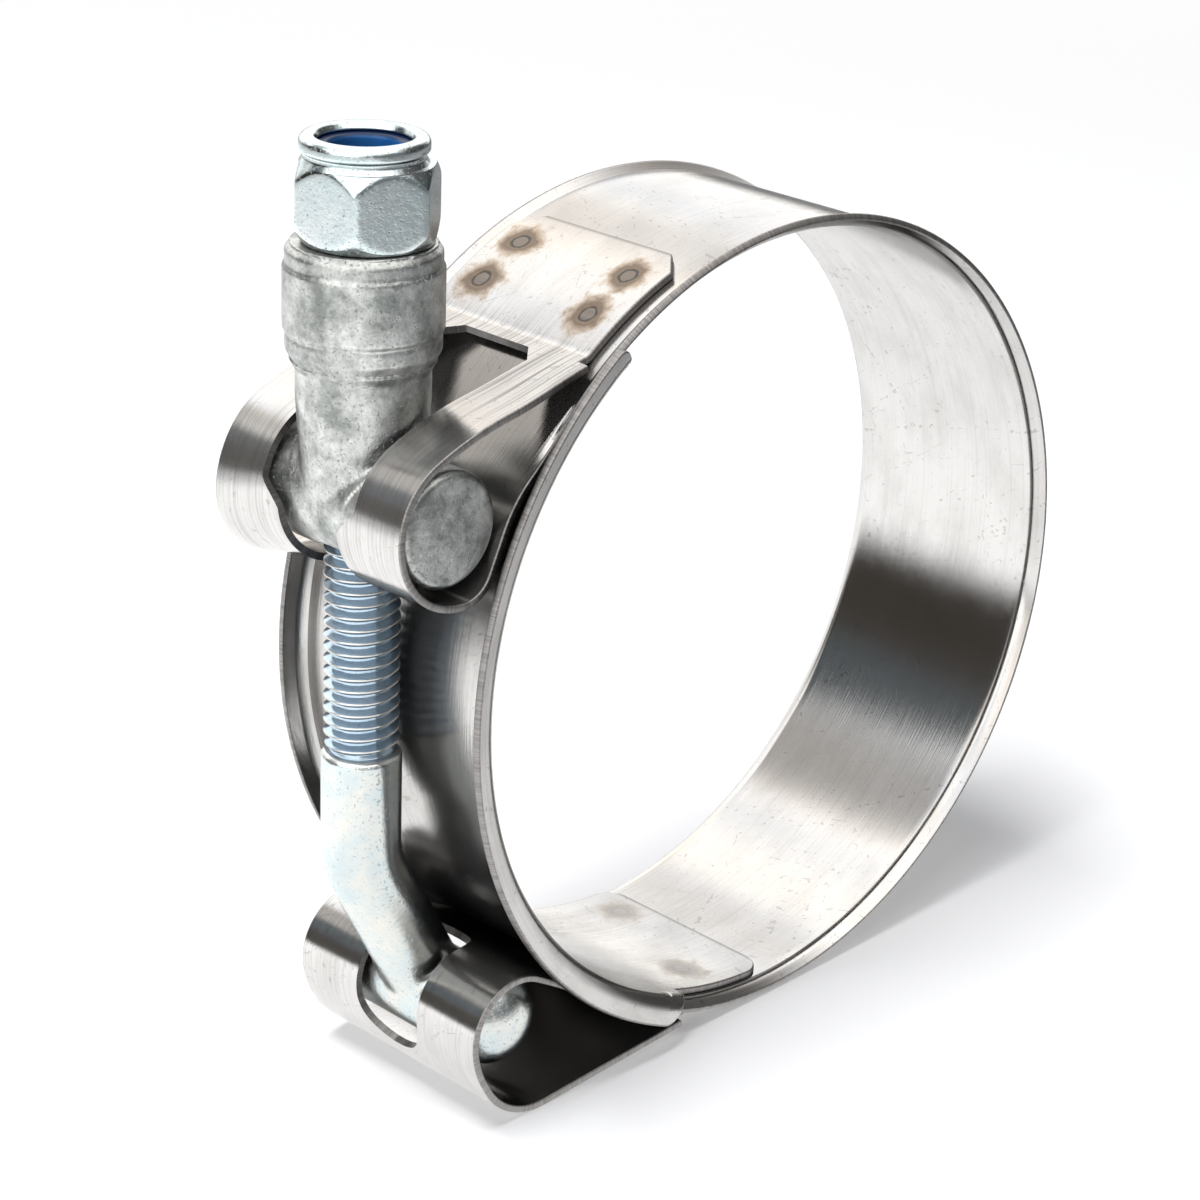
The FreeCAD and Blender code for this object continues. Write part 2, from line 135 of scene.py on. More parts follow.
@dataclass(frozen=True)
class Straight:
    """A straight run of a strip's middle line."""

    start: np.ndarray
    end: np.ndarray

    def sample(self, step: float) -> tuple:
        """Points and left normals along the run, its end left out.

        Args:
            step: longest spacing in millimetres.

        Returns:
            Two arrays of x and z.
        """
        span = self.end - self.start
        length = float(np.hypot(*span))
        count = max(1, math.ceil(length / step))
        t = np.arange(count) / count
        normal = np.array([-span[1], span[0]]) / length
        return self.start + t[:, None] * span, np.repeat(normal[None], count, axis=0)


@dataclass(frozen=True)
class Arc:
    """A round run of a strip's middle line, between two angles in degrees."""

    centre: np.ndarray
    radius: float
    first: float
    last: float

    @property
    def start(self) -> np.ndarray:
        """First point."""
        return polar(self.first, self.radius, self.centre)

    @property
    def end(self) -> np.ndarray:
        """Last point."""
        return polar(self.last, self.radius, self.centre)

    def sample(self, step: float) -> tuple:
        """Points and left normals along the run, its end left out.

        Args:
            step: longest spacing in millimetres.

        Returns:
            Two arrays of x and z.
        """
        turn = math.radians(self.last - self.first)
        count = max(4, math.ceil(abs(turn) * self.radius / step), math.ceil(abs(turn) / 0.12))
        a = math.radians(self.first) + turn * np.arange(count) / count
        spoke = np.stack([np.cos(a), np.sin(a)], axis=1)
        side = -1.0 if turn > 0 else 1.0
        return self.centre + self.radius * spoke, side * spoke


@dataclass(frozen=True)
class Line:
    """A sampled middle line: points, left normals and distance along it."""

    points: np.ndarray
    normals: np.ndarray
    run: np.ndarray

    @staticmethod
    def of(runs: list, step: float = STATION_STEP) -> "Line":
        """Samples a list of runs that follow one another.

        Args:
            runs: straights and arcs in order.
            step: longest spacing in millimetres.

        Returns:
            The line.
        """
        pieces = [r.sample(step) for r in runs]
        points = np.concatenate([p for p, _ in pieces] + [runs[-1].end[None]])
        normals = np.concatenate([n for _, n in pieces] + [pieces[-1][1][-1:]])
        gaps = np.hypot(*np.diff(points, axis=0).T)
        return Line(points, normals, np.concatenate([[0.0], np.cumsum(gaps)]))

    def nearest(self, point: np.ndarray, low: float = 0.0, high: float = 1e9) -> float:
        """Distance along the line of its point nearest to a given one.

        Args:
            point: x and z.
            low: distance before which no point counts.
            high: distance past which no point counts.

        Returns:
            The distance in millimetres.
        """
        gap = np.hypot(*(self.points - point).T)
        gap = np.where((self.run < low) | (self.run > high), 1e9, gap)
        return float(self.run[int(np.argmin(gap))])

    def with_stations(self, wanted: list) -> "Line":
        """The line with extra samples.

        Args:
            wanted: distances of the samples.

        Returns:
            The denser line, without samples that fall together.
        """
        run = np.unique(np.concatenate([self.run, np.asarray(wanted)]))
        keep = np.concatenate([[True], np.diff(run) > 1e-4])
        run = run[keep]
        points = np.stack([np.interp(run, self.run, self.points[:, k]) for k in (0, 1)], axis=1)
        normals = np.stack([np.interp(run, self.run, self.normals[:, k]) for k in (0, 1)], axis=1)
        normals /= np.linalg.norm(normals, axis=1)[:, None]
        return Line(points, normals, run)


@dataclass(frozen=True)
class Section:
    """A bent sheet's section: a table of width y and rise h over the developed width c."""

    c: np.ndarray
    y: np.ndarray
    h: np.ndarray

    def at(self, c: np.ndarray) -> tuple:
        """Place and unit tangent of the section at developed widths.

        Args:
            c: developed widths in millimetres.

        Returns:
            y, h, and the tangent's y and h parts.
        """
        y = np.interp(c, self.c, self.y)
        h = np.interp(c, self.c, self.h)
        dy = np.interp(c, self.c, np.gradient(self.y, self.c))
        dh = np.interp(c, self.c, np.gradient(self.h, self.c))
        size = np.hypot(dy, dh)
        return y, h, dy / size, dh / size

    @staticmethod
    def bent(turns: list, reach: float, bend: float) -> "Section":
        """A section whose slope grows by steps on both sides of its middle.

        The slope angle is a sum of smooth steps, and y and h are the running
        sums of its cosine and sine.

        Args:
            turns: (distance from the middle, angle in degrees) of each bend.
            reach: largest developed width.
            bend: width over which a bend is spread.

        Returns:
            The section.
        """
        samples = 1200
        c = np.linspace(0.0, reach, samples)
        angle = np.zeros_like(c)
        for place, turn in turns:
            angle += math.radians(turn) * smoothstep((c - place) / bend + 0.5)
        step = c[1] - c[0]
        y = np.concatenate([[0.0], np.cumsum(np.cos(angle[:-1])) * step])
        h = np.concatenate([[0.0], np.cumsum(np.sin(angle[:-1])) * step])
        both = [np.concatenate([sign * v[:0:-1], v]) for sign, v in ((-1.0, c), (-1.0, y), (1.0, h))]
        return Section(*both)


@dataclass
class Sheet:
    """A strip of sheet: a section carried along a line, with slots down its middle.

    Point (i, j) is line[i] + h * normal[i] in the XZ plane and y across it,
    moved half the thickness along the section's own normal, so both faces,
    the rounded edges and the slot walls share one grid. Its columns go once
    round the section: one face, the right edge, the other face, the left edge.
    """

    line: Line
    section: Section
    thickness: float
    reach: np.ndarray
    slot: np.ndarray
    open_slot: np.ndarray
    lift: np.ndarray
    rubbed: np.ndarray
    edge_round: float = 0.14
    side_columns: int = 20
    slot_columns: int = 12
    crowding: float = 0.13
    least_side: float = 0.4

    def widths(self) -> np.ndarray:
        """Developed width of each column at each station, denser towards the edges.

        Returns:
            One row per station.
        """
        edge = self.reach[:, None] - self.edge_round
        slot = np.minimum(self.slot[:, None], edge - self.least_side)
        t = np.linspace(0.0, 1.0, self.side_columns)
        ease = t + self.crowding * np.sin(2.0 * np.pi * (1.0 - t))
        outer = slot + (edge - slot) * ease
        middle = np.linspace(-1.0, 1.0, self.slot_columns)[1:-1] * slot
        return np.concatenate([-outer[:, ::-1], middle, outer], axis=1)

    def lifted(self, c: np.ndarray, rise: np.ndarray) -> tuple:
        """The section with its heights scaled.

        Args:
            c: developed widths.
            rise: the heights' scale at each station.

        Returns:
            y, h, and the unit tangent's y and h parts.
        """
        y, h, ty, th = self.section.at(c)
        th = th * rise
        size = np.hypot(ty, th)
        return y, h * rise, ty / size, th / size

    def place(self, y: np.ndarray, h: np.ndarray) -> np.ndarray:
        """Points at width y and rise h of each station.

        Args:
            y: widths.
            h: rises along the line's normal.

        Returns:
            Points as (station, column, xyz).
        """
        x = self.line.points[:, :1] + self.line.normals[:, :1] * h
        z = self.line.points[:, 1:] + self.line.normals[:, 1:] * h
        return np.stack([x, y, z], axis=2)

    def face(self, side: float, c: np.ndarray) -> np.ndarray:
        """One face of the sheet.

        Args:
            side: +1 for the face on the normal's side, -1 for the low face.
            c: developed widths of the columns.

        Returns:
            Points as (station, column, xyz).
        """
        y, h, ty, th = self.lifted(c, self.lift[:, None])
        half = side * self.thickness / 2.0
        return self.place(y - half * th, h + half * ty)

    def edge(self, sign: float) -> np.ndarray:
        """The rounded edge on one side, from the +1 face to the -1 face.

        It is two quarter circles of the radius edge_round, with the flat of
        the cut between them.

        Args:
            sign: +1 for the right edge, -1 for the left one.

        Returns:
            Points as (station, column, xyz).
        """
        y, h, ty, th = self.lifted(self.reach - self.edge_round, self.lift)
        e = self.edge_round
        flat = self.thickness / 2.0 - e
        quarter = np.radians([22.5, 45.0, 67.5, 90.0])
        out = np.concatenate([np.sin(quarter), np.sin(quarter[::-1])]) * e
        up = np.concatenate([flat + e * np.cos(quarter), -flat - e * np.cos(quarter[::-1])])
        ys = y[:, None] + ty[:, None] * out - th[:, None] * up
        hs = h[:, None] + th[:, None] * out + ty[:, None] * up
        return self.place(sign * ys, hs)

    def build(self, name: str, dents: "Dents | None" = None) -> bpy.types.Object:
        """The closed mesh.

        Args:
            name: piece name.
            dents: weld marks pressed into the low face, or None.

        Returns:
            The object, with material index 1 on cut edges and a UV map in decimetres.
        """
        c = self.widths()
        top = self.face(1.0, c)
        low = self.face(-1.0, c)
        if dents:
            low = dents.press(self, c, low)
        right = self.edge(1.0)
        left = self.edge(-1.0)
        ring = np.concatenate([top, right, low[:, ::-1], left[:, ::-1]], axis=1)
        n, m = c.shape
        k = right.shape[1]
        count = ring.shape[1]
        index = np.arange(n * count).reshape(n, count)
        first = self.side_columns - 1
        last = first + self.slot_columns - 1
        mirror = 2 * m + k - 1
        gap = np.zeros((n - 1, count), bool)
        gap[:, first:last] = self.open_slot[:, None]
        gap[:, mirror - last:mirror - first] = self.open_slot[:, None]
        is_edge = np.zeros((n - 1, count), bool)
        is_edge[:, m - 1:m + k] = True
        is_edge[:, mirror:] = True
        skin = wrapped_quads(n, count).reshape(n - 1, count, 4)[~gap]
        cut = np.concatenate([self.slot_walls(index, first, last, mirror), self.caps(index, m, k)])
        kinds = np.concatenate([is_edge[~gap].astype(int), np.ones(len(cut), int)])
        obj = mesh_object(name, ring.reshape(-1, 3), np.concatenate([skin, cut]), kinds)
        run = np.repeat(self.line.run[:, None], count, axis=1)
        side = np.repeat(self.reach[:, None], k, axis=1)
        wide = np.concatenate([c, side, c[:, ::-1], -side], axis=1)
        add_uv(obj, np.stack([run.ravel(), wide.ravel()], axis=1) * MAP_SCALE)
        add_value(obj, "rubbed", np.repeat(self.rubbed, count))
        return obj

    def slot_walls(self, index: np.ndarray, first: int, last: int, mirror: int) -> np.ndarray:
        """Quads of the slots' side walls and end walls.

        Args:
            index: vertex of each station and column.
            first: column of the slots' left side on one face.
            last: column of their right side.
            mirror: sum of the two columns that lie opposite each other on the faces.

        Returns:
            Rows of vertex indices, none if the strip has no slot.
        """
        cut = np.nonzero(self.open_slot)[0]
        walls = [np.zeros((0, 4), int)]
        for column, flip in ((first, False), (last, True)):
            wall = np.stack([index[cut, column], index[cut + 1, column],
                             index[cut + 1, mirror - column], index[cut, mirror - column]], axis=1)
            walls.append(wall[:, ::-1] if flip else wall)
        steps = np.diff(np.concatenate([[0], self.open_slot.astype(int), [0]]))
        span = np.arange(first, last)
        for station in np.nonzero(steps[:-1])[0]:
            row = index[station]
            wall = np.stack([row[span], row[mirror - span], row[mirror - span - 1], row[span + 1]], axis=1)
            walls.append(wall if steps[station] > 0 else wall[:, ::-1])
        return np.concatenate(walls)

    def caps(self, index: np.ndarray, m: int, k: int) -> np.ndarray:
        """Quads that close both ends, joining each column of one face to the other's.

        Args:
            index: vertex of each station and column.
            m: columns of a face.
            k: columns of an edge.

        Returns:
            Rows of vertex indices.
        """
        count = index.shape[1]
        t = np.arange(m - 1)
        j = np.arange(k // 2 - 1)
        start = 2 * m + k
        low = start - 1 - t
        right = m + k - 1 - j
        left = count - 1 - j
        quads = []
        for row, flip in ((index[0], False), (index[-1], True)):
            whole = np.concatenate([
                np.stack([row[t], row[low], row[low - 1], row[t + 1]], axis=1),
                row[[[m - 1, m + k, m + k - 1, m]]],
                np.stack([row[m + j], row[right], row[right - 1], row[m + j + 1]], axis=1),
                row[[[start - 1, 0, count - 1, start]]],
                np.stack([row[start + j], row[left], row[left - 1], row[start + j + 1]], axis=1),
            ])
            quads.append(whole[:, ::-1] if flip else whole)
        return np.concatenate(quads)


@dataclass(frozen=True)
class Dents:
    """Spot-weld marks on the low face: their places along and across the strip, and their depth."""

    places: tuple
    depth: float = 0.07
    nugget_r: float = 0.72
    ring_width: float = 0.13
    dish: float = 0.6

    def press(self, sheet: Sheet, c: np.ndarray, low: np.ndarray) -> np.ndarray:
        """Presses each mark into the low face.

        The depth is a bell curve of the distance to a circle of the nugget's
        radius, with a shallow dish inside the circle.

        Args:
            sheet: the strip.
            c: developed widths of the columns.
            low: the face away from the normal's side.

        Returns:
            The pressed face.
        """
        normal = np.zeros((len(sheet.line.run), 1, 3))
        normal[:, 0, [0, 2]] = sheet.line.normals
        for run, width in self.places:
            gap = np.hypot(sheet.line.run[:, None] - run, c - width)
            ring = np.exp(-(((gap - self.nugget_r) / self.ring_width) ** 2))
            dish = self.dish * smoothstep(1.0 - gap / self.nugget_r)
            low = low + self.depth * (ring + dish)[:, :, None] * normal
        return low


def mesh_object(name: str, verts: np.ndarray, faces: np.ndarray, kinds: np.ndarray | None = None,
                sharp: float = 32.0) -> bpy.types.Object:
    """Makes an object from points in millimetres and quads.

    Args:
        name: piece name.
        verts: points.
        faces: rows of vertex indices.
        kinds: material index of each face.
        sharp: edges that bend more than this many degrees stay sharp.

    Returns:
        The object, linked to the scene.
    """
    mesh = bpy.data.meshes.new(name)
    mesh.from_pydata((verts * MM).tolist(), [], faces.tolist())
    if kinds is not None:
        mesh.polygons.foreach_set("material_index", kinds.astype(np.int32))
    mesh.polygons.foreach_set("use_smooth", np.ones(len(faces), bool))
    mesh.set_sharp_from_angle(angle=math.radians(sharp))
    mesh.validate()
    obj = bpy.data.objects.new(name, mesh)
    bpy.context.scene.collection.objects.link(obj)
    return obj


def add_uv(obj: bpy.types.Object, values: np.ndarray) -> None:
    """Gives the mesh a UV map named strip.

    Args:
        obj: the object.
        values: u and v of each vertex.
    """
    layer = obj.data.uv_layers.new(name="strip")
    corner = np.empty(len(obj.data.loops), np.int32)
    obj.data.loops.foreach_get("vertex_index", corner)
    layer.uv.foreach_set("vector", values[corner].astype(np.float32).ravel())


def add_value(obj: bpy.types.Object, name: str, values: np.ndarray) -> None:
    """Gives the mesh one float attribute per vertex."""
    layer = obj.data.attributes.new(name, "FLOAT", "POINT")
    layer.data.foreach_set("value", values.astype(np.float32))


def vertex_points(obj: bpy.types.Object) -> np.ndarray:
    """The object's vertices.

    Args:
        obj: the object.

    Returns:
        Rows of x, y and z in metres.
    """
    points = np.empty(len(obj.data.vertices) * 3, np.float32)
    obj.data.vertices.foreach_get("co", points)
    return points.reshape(-1, 3)


def move_vertices(obj: bpy.types.Object, points: np.ndarray) -> None:
    """Puts the object's vertices at points in metres."""
    obj.data.vertices.foreach_set("co", points.astype(np.float32).ravel())
    obj.data.update()


def lathe(profile: np.ndarray, columns: int) -> tuple:
    """Surface of revolution about +Z from a closed loop of (r, z) points.

    Point (i, j) is (r_i cos a_j, r_i sin a_j, z_i).

    Args:
        profile: loop of points, none on the axis.
        columns: number of columns round the axis.

    Returns:
        Points and quads.
    """
    a = 2.0 * np.pi * np.arange(columns) / columns
    points = turned_rows(profile[:, :1], profile[:, 1:], a)
    return points.reshape(-1, 3), wrapped_quads(len(profile), columns, True)


def rounded_loop(corners: list, steps: int = 4) -> np.ndarray:
    """Closed loop of (r, z) corners, each with its own rounding radius.

    Each corner is replaced by an arc tangent to both of its sides.

    Args:
        corners: (r, z, radius) of each corner in order.
        steps: points on each arc, less one.

    Returns:
        The loop's points.
    """
    pts = np.array([c[:2] for c in corners], float)
    out = []
    for i, (r, z, radius) in enumerate(corners):
        here = np.array([r, z])
        back = pts[i - 1] - here
        ahead = pts[(i + 1) % len(pts)] - here
        back /= np.linalg.norm(back)
        ahead /= np.linalg.norm(ahead)
        half = math.acos(float(np.clip(back @ ahead, -1, 1))) / 2.0
        if radius <= 0.0 or half > math.radians(89.0):
            out.append(here)
            continue
        middle = (back + ahead) / np.linalg.norm(back + ahead)
        centre = here + middle * radius / math.sin(half)
        a = here + back * radius / math.tan(half) - centre
        b = here + ahead * radius / math.tan(half) - centre
        turn = math.atan2(a[0] * b[1] - a[1] * b[0], float(a @ b))
        for t in np.linspace(0.0, 1.0, steps + 1):
            c, s = math.cos(turn * t), math.sin(turn * t)
            out.append(centre + np.array([a[0] * c - a[1] * s, a[0] * s + a[1] * c]))
    return np.array(out)


def bake_modifiers(obj: bpy.types.Object) -> None:
    """Turns an object's modifiers into its mesh.

    Args:
        obj: the object.
    """
    bpy.context.view_layer.update()
    graph = bpy.context.evaluated_depsgraph_get()
    mesh = bpy.data.meshes.new_from_object(obj.evaluated_get(graph))
    obj.modifiers.clear()
    old = obj.data
    obj.data = mesh
    bpy.data.meshes.remove(old)


def repair(obj: bpy.types.Object, fill: bool = False) -> None:
    """Turns every face of a mesh outwards.

    Args:
        obj: the object.
        fill: whether its open rings are closed first, with one face each.
    """
    work = bmesh.new()
    work.from_mesh(obj.data)
    if fill:
        bmesh.ops.holes_fill(work, edges=[e for e in work.edges if e.is_boundary])
    bmesh.ops.recalc_face_normals(work, faces=work.faces)
    work.to_mesh(obj.data)
    work.free()


@dataclass(frozen=True)
class BoltFrame:
    """Place of the bolt: the pin's centre, and the bolt's axis, read from the joints."""

    centre: np.ndarray
    axis: np.ndarray

    @staticmethod
    def read(joints: list) -> "BoltFrame":
        """Takes the place from the nut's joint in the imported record.

        Args:
            joints: the record's joints.

        Returns:
            The place in millimetres.
        """
        spin = next(j for j in joints if j["name"] == "nut_spin")
        axis = np.array(spin["axis"], float)
        return BoltFrame(np.array(spin["pos_m"], float) / MM, axis / np.linalg.norm(axis))

    def seat(self, points: np.ndarray) -> np.ndarray:
        """Points made upright about the origin, leaned on to the bolt's axis.

        Args:
            points: rows of x, y and z in millimetres.

        Returns:
            The moved points.
        """
        across = np.cross([0.0, 1.0, 0.0], self.axis)
        turn = np.stack([across, [0.0, 1.0, 0.0], self.axis], axis=0)
        return points @ turn + self.centre

    def on_axis(self, height: float) -> np.ndarray:
        """Point of the axis at a height above the pin's centre."""
        return self.centre + self.axis * height


class Tree:
    """A shader node tree that is written as nested calls."""

    def __init__(self, tree: bpy.types.NodeTree) -> None:
        """Keeps the node tree."""
        self.tree = tree

    def feed(self, node: bpy.types.Node, inputs: dict) -> bpy.types.Node:
        """Sets or links a node's inputs.

        Args:
            node: the node.
            inputs: socket name or number to value or output socket.

        Returns:
            The node.
        """
        for key, value in inputs.items():
            socket = node.inputs[key]
            if isinstance(value, Socket):
                self.tree.links.new(value, socket)
            else:
                socket.default_value = value
        return node

    def add(self, kind: str, inputs: dict | None = None, **settings) -> bpy.types.Node:
        """Adds a node.

        Args:
            kind: node type without the ShaderNode prefix.
            inputs: socket name or number to value or output socket.
            settings: node properties.

        Returns:
            The node.
        """
        node = self.tree.nodes.new("ShaderNode" + kind)
        for key, value in settings.items():
            setattr(node, key, value)
        return self.feed(node, inputs or {})

    def math(self, operation: str, a: Value, b: Value = 0.0, clamp: bool = False) -> Socket:
        """A math node's output."""
        return self.add("Math", {0: a, 1: b}, operation=operation, use_clamp=clamp).outputs[0]

    def scaled(self, value: Value, factor: float, start: float) -> Socket:
        """The value times a factor, added to a start."""
        return self.add("Math", {0: value, 1: factor, 2: start}, operation="MULTIPLY_ADD").outputs[0]

    def mix(self, factor: Value, a: Value, b: Value, blend: str = "MIX") -> Socket:
        """A colour mix."""
        return self.add("Mix", {0: factor, 6: a, 7: b}, data_type="RGBA", blend_type=blend).outputs[2]

    def ramp(self, value: Value, stops: list, ease: str = "LINEAR") -> Socket:
        """A colour ramp.

        Args:
            value: where the ramp is read.
            stops: place and grey or colour of each stop.
            ease: how colours between stops are blended.

        Returns:
            The ramp's colour.
        """
        node = self.add("ValToRGB", {0: value})
        node.color_ramp.interpolation = ease
        elements = node.color_ramp.elements
        while len(elements) < len(stops):
            elements.new(0.5)
        for element, (place, colour) in zip(elements, stops):
            element.position = place
            element.color = colour if isinstance(colour, tuple) else (colour, colour, colour, 1.0)
        return node.outputs[0]

    def stretched(self, vector: Socket, scale: tuple) -> Socket:
        """The vector scaled by axis."""
        return self.add("Mapping", {0: vector, 3: scale}).outputs[0]

    def noise(self, vector: Socket, scale: float, detail: float = 3.0, rough: float = 0.55) -> Socket:
        """A noise value."""
        inputs = {"Vector": vector, "Scale": scale, "Detail": detail, "Roughness": rough}
        return self.add("TexNoise", inputs).outputs[0]

    def bump(self, height: Value, strength: float, distance: float = 0.0001) -> Socket:
        """The surface's normal, tilted by a height in the given distance in metres."""
        return self.add("Bump", {"Strength": strength, "Distance": distance, "Height": height}).outputs[0]

    def value(self, name: str) -> Socket:
        """A mesh attribute's value."""
        return self.add("Attribute", attribute_name=name).outputs["Fac"]


def new_group(name: str, inputs: list, outputs: list) -> tuple:
    """Starts a shader node group.

    Args:
        name: group name.
        inputs: (name, socket type, default) of each input.
        outputs: (name, socket type) of each output.

    Returns:
        The group, its Tree, its input sockets by name and its output node.
    """
    group = bpy.data.node_groups.new(name, "ShaderNodeTree")
    for label, kind, default in inputs:
        socket = group.interface.new_socket(label, in_out="INPUT", socket_type=kind)
        if default is not None:
            socket.default_value = default
    for label, kind in outputs:
        group.interface.new_socket(label, in_out="OUTPUT", socket_type=kind)
    source = group.nodes.new("NodeGroupInput")
    sink = group.nodes.new("NodeGroupOutput")
    return group, Tree(group), source.outputs, sink


class Effects:
    """Shader node groups that several finishes share, and the finishes' materials."""

    def __init__(self) -> None:
        """Builds every group."""
        self.rolling = self.rolling_lines()
        self.scuffs = self.scuff_marks()
        self.heat = self.heat_tint()
        self.grain = self.plated_grain()

    def material(self, finish: "BrightStrip | ShearedEdge | Plating | Nylon") -> bpy.types.Material:
        """The finish's material, built the first time that it is asked for."""
        return bpy.data.materials.get(finish.name) or finish.make(self)

    @staticmethod
    def rolling_lines() -> bpy.types.NodeTree:
        """Lines along the strip: fine rolling lines, coarser grooves, and a slow cloud.

        Each is noise on the strip's map. The lines are stretched about 100
        times along the strip, the cloud twice.

        Returns:
            The group.
        """
        outputs = [(label, "NodeSocketFloat") for label in ("Lines", "Grooves", "Cloud")]
        inputs = [("Vector", "NodeSocketVector", None)]
        group, t, source, sink = new_group("rolling lines", inputs, outputs)
        place = source["Vector"]
        t.feed(sink, {
            "Lines": t.noise(t.stretched(place, (6.0, 700.0, 1.0)), 1.0, 4.0, 0.7),
            "Grooves": t.noise(t.stretched(place, (2.2, 210.0, 1.0)), 1.0, 3.0, 0.65),
            "Cloud": t.noise(t.stretched(place, (14.0, 26.0, 1.0)), 1.0, 4.0, 0.6),
        })
        return group

    @staticmethod
    def scuff_marks() -> bpy.types.NodeTree:
        """Thin crossed scratches: thresholded ridges of three turned, stretched noises, in patches.

        Returns:
            The group.
        """
        half_width = 0.006
        inputs = [("Vector", "NodeSocketVector", None), ("Scale", "NodeSocketFloat", 900.0)]
        group, t, source, sink = new_group("scuff marks", inputs, [("Marks", "NodeSocketFloat")])
        total = None
        for angle, stretch in ((0.5, 0.05), (-0.9, 0.04), (1.9, 0.06)):
            turned = t.add("Mapping", {0: source["Vector"], 2: (0.0, 0.0, angle)}).outputs[0]
            thin = t.stretched(turned, (stretch, 1.0, 1.0))
            value = t.add("TexNoise", {"Vector": thin, "Scale": source["Scale"], "Detail": 1.0}).outputs[0]
            ridge = t.math("ABSOLUTE", t.math("SUBTRACT", value, 0.5))
            line = t.math("LESS_THAN", ridge, half_width)
            patch = t.math("GREATER_THAN", t.noise(turned, 160.0, 1.0), 0.60)
            mark = t.math("MULTIPLY", line, patch)
            total = mark if total is None else t.math("ADD", total, mark, True)
        t.feed(sink, {"Marks": total})
        return group

    @staticmethod
    def heat_tint() -> bpy.types.NodeTree:
        """Brown heat tint round a weld mark, from the distance to it in millimetres.

        The distance is made uneven by noise and divided by the tint's reach.
        A ramp over it gives a grey nugget, a black ring and browns that pale.

        Returns:
            The group.
        """
        full_reach = 4.0
        inputs = [("Distance", "NodeSocketFloat", 9.0), ("Vector", "NodeSocketVector", None)]
        outputs = [("Colour", "NodeSocketColor"), ("Mask", "NodeSocketFloat")]
        group, t, source, sink = new_group("heat tint", inputs, outputs)
        wobble = t.math("SUBTRACT", t.noise(source["Vector"], 700.0, 4.0, 0.65), 0.5)
        wobble = t.math("MULTIPLY", wobble, t.math("MULTIPLY", source["Distance"], 0.4, True))
        uneven = t.math("MULTIPLY", source["Distance"], t.scaled(wobble, 1.8, 1.0))
        reach = t.math("MULTIPLY", uneven, 1.0 / full_reach)
        colour = t.ramp(reach, [(0.0, (0.22, 0.18, 0.15, 1.0)), (0.155, (0.20, 0.16, 0.13, 1.0)),
                                (0.165, (0.015, 0.01, 0.008, 1.0)), (0.20, (0.02, 0.014, 0.01, 1.0)),
                                (0.23, (0.20, 0.13, 0.075, 1.0)), (0.32, (0.15, 0.09, 0.045, 1.0)),
                                (0.44, (0.40, 0.27, 0.15, 1.0)), (0.66, (0.76, 0.70, 0.62, 1.0))])
        mask = t.ramp(reach, [(0.0, 0.92), (0.30, 0.86), (0.46, 0.60), (0.60, 0.20), (0.80, 0.0)])
        t.feed(sink, {"Colour": colour, "Mask": mask})
        return group

    @staticmethod
    def plated_grain() -> bpy.types.NodeTree:
        """Pits and bloom of a plated surface: coarse and fine noise with thresholded pits.

        Returns:
            The group.
        """
        inputs = [("Vector", "NodeSocketVector", None), ("Size", "NodeSocketFloat", 1.0)]
        outputs = [(label, "NodeSocketFloat") for label in ("Height", "Bloom", "Pits")]
        group, t, source, sink = new_group("plated grain", inputs, outputs)
        scale = {0: source["Vector"], 3: source["Size"]}
        sized = t.add("VectorMath", scale, operation="SCALE").outputs[0]
        fine = t.noise(sized, 3200.0, 4.0, 0.65)
        coarse = t.noise(sized, 700.0, 4.0, 0.6)
        pits = t.ramp(t.noise(sized, 4600.0, 3.0, 0.6), [(0.60, 0.0), (0.70, 1.0)])
        height = t.math("ADD", t.math("MULTIPLY", fine, 0.5), t.math("MULTIPLY", coarse, 0.7))
        height = t.math("SUBTRACT", height, t.math("MULTIPLY", pits, 0.7))
        t.feed(sink, {"Height": height, "Bloom": t.noise(sized, 330.0, 7.0, 0.72), "Pits": pits})
        return group


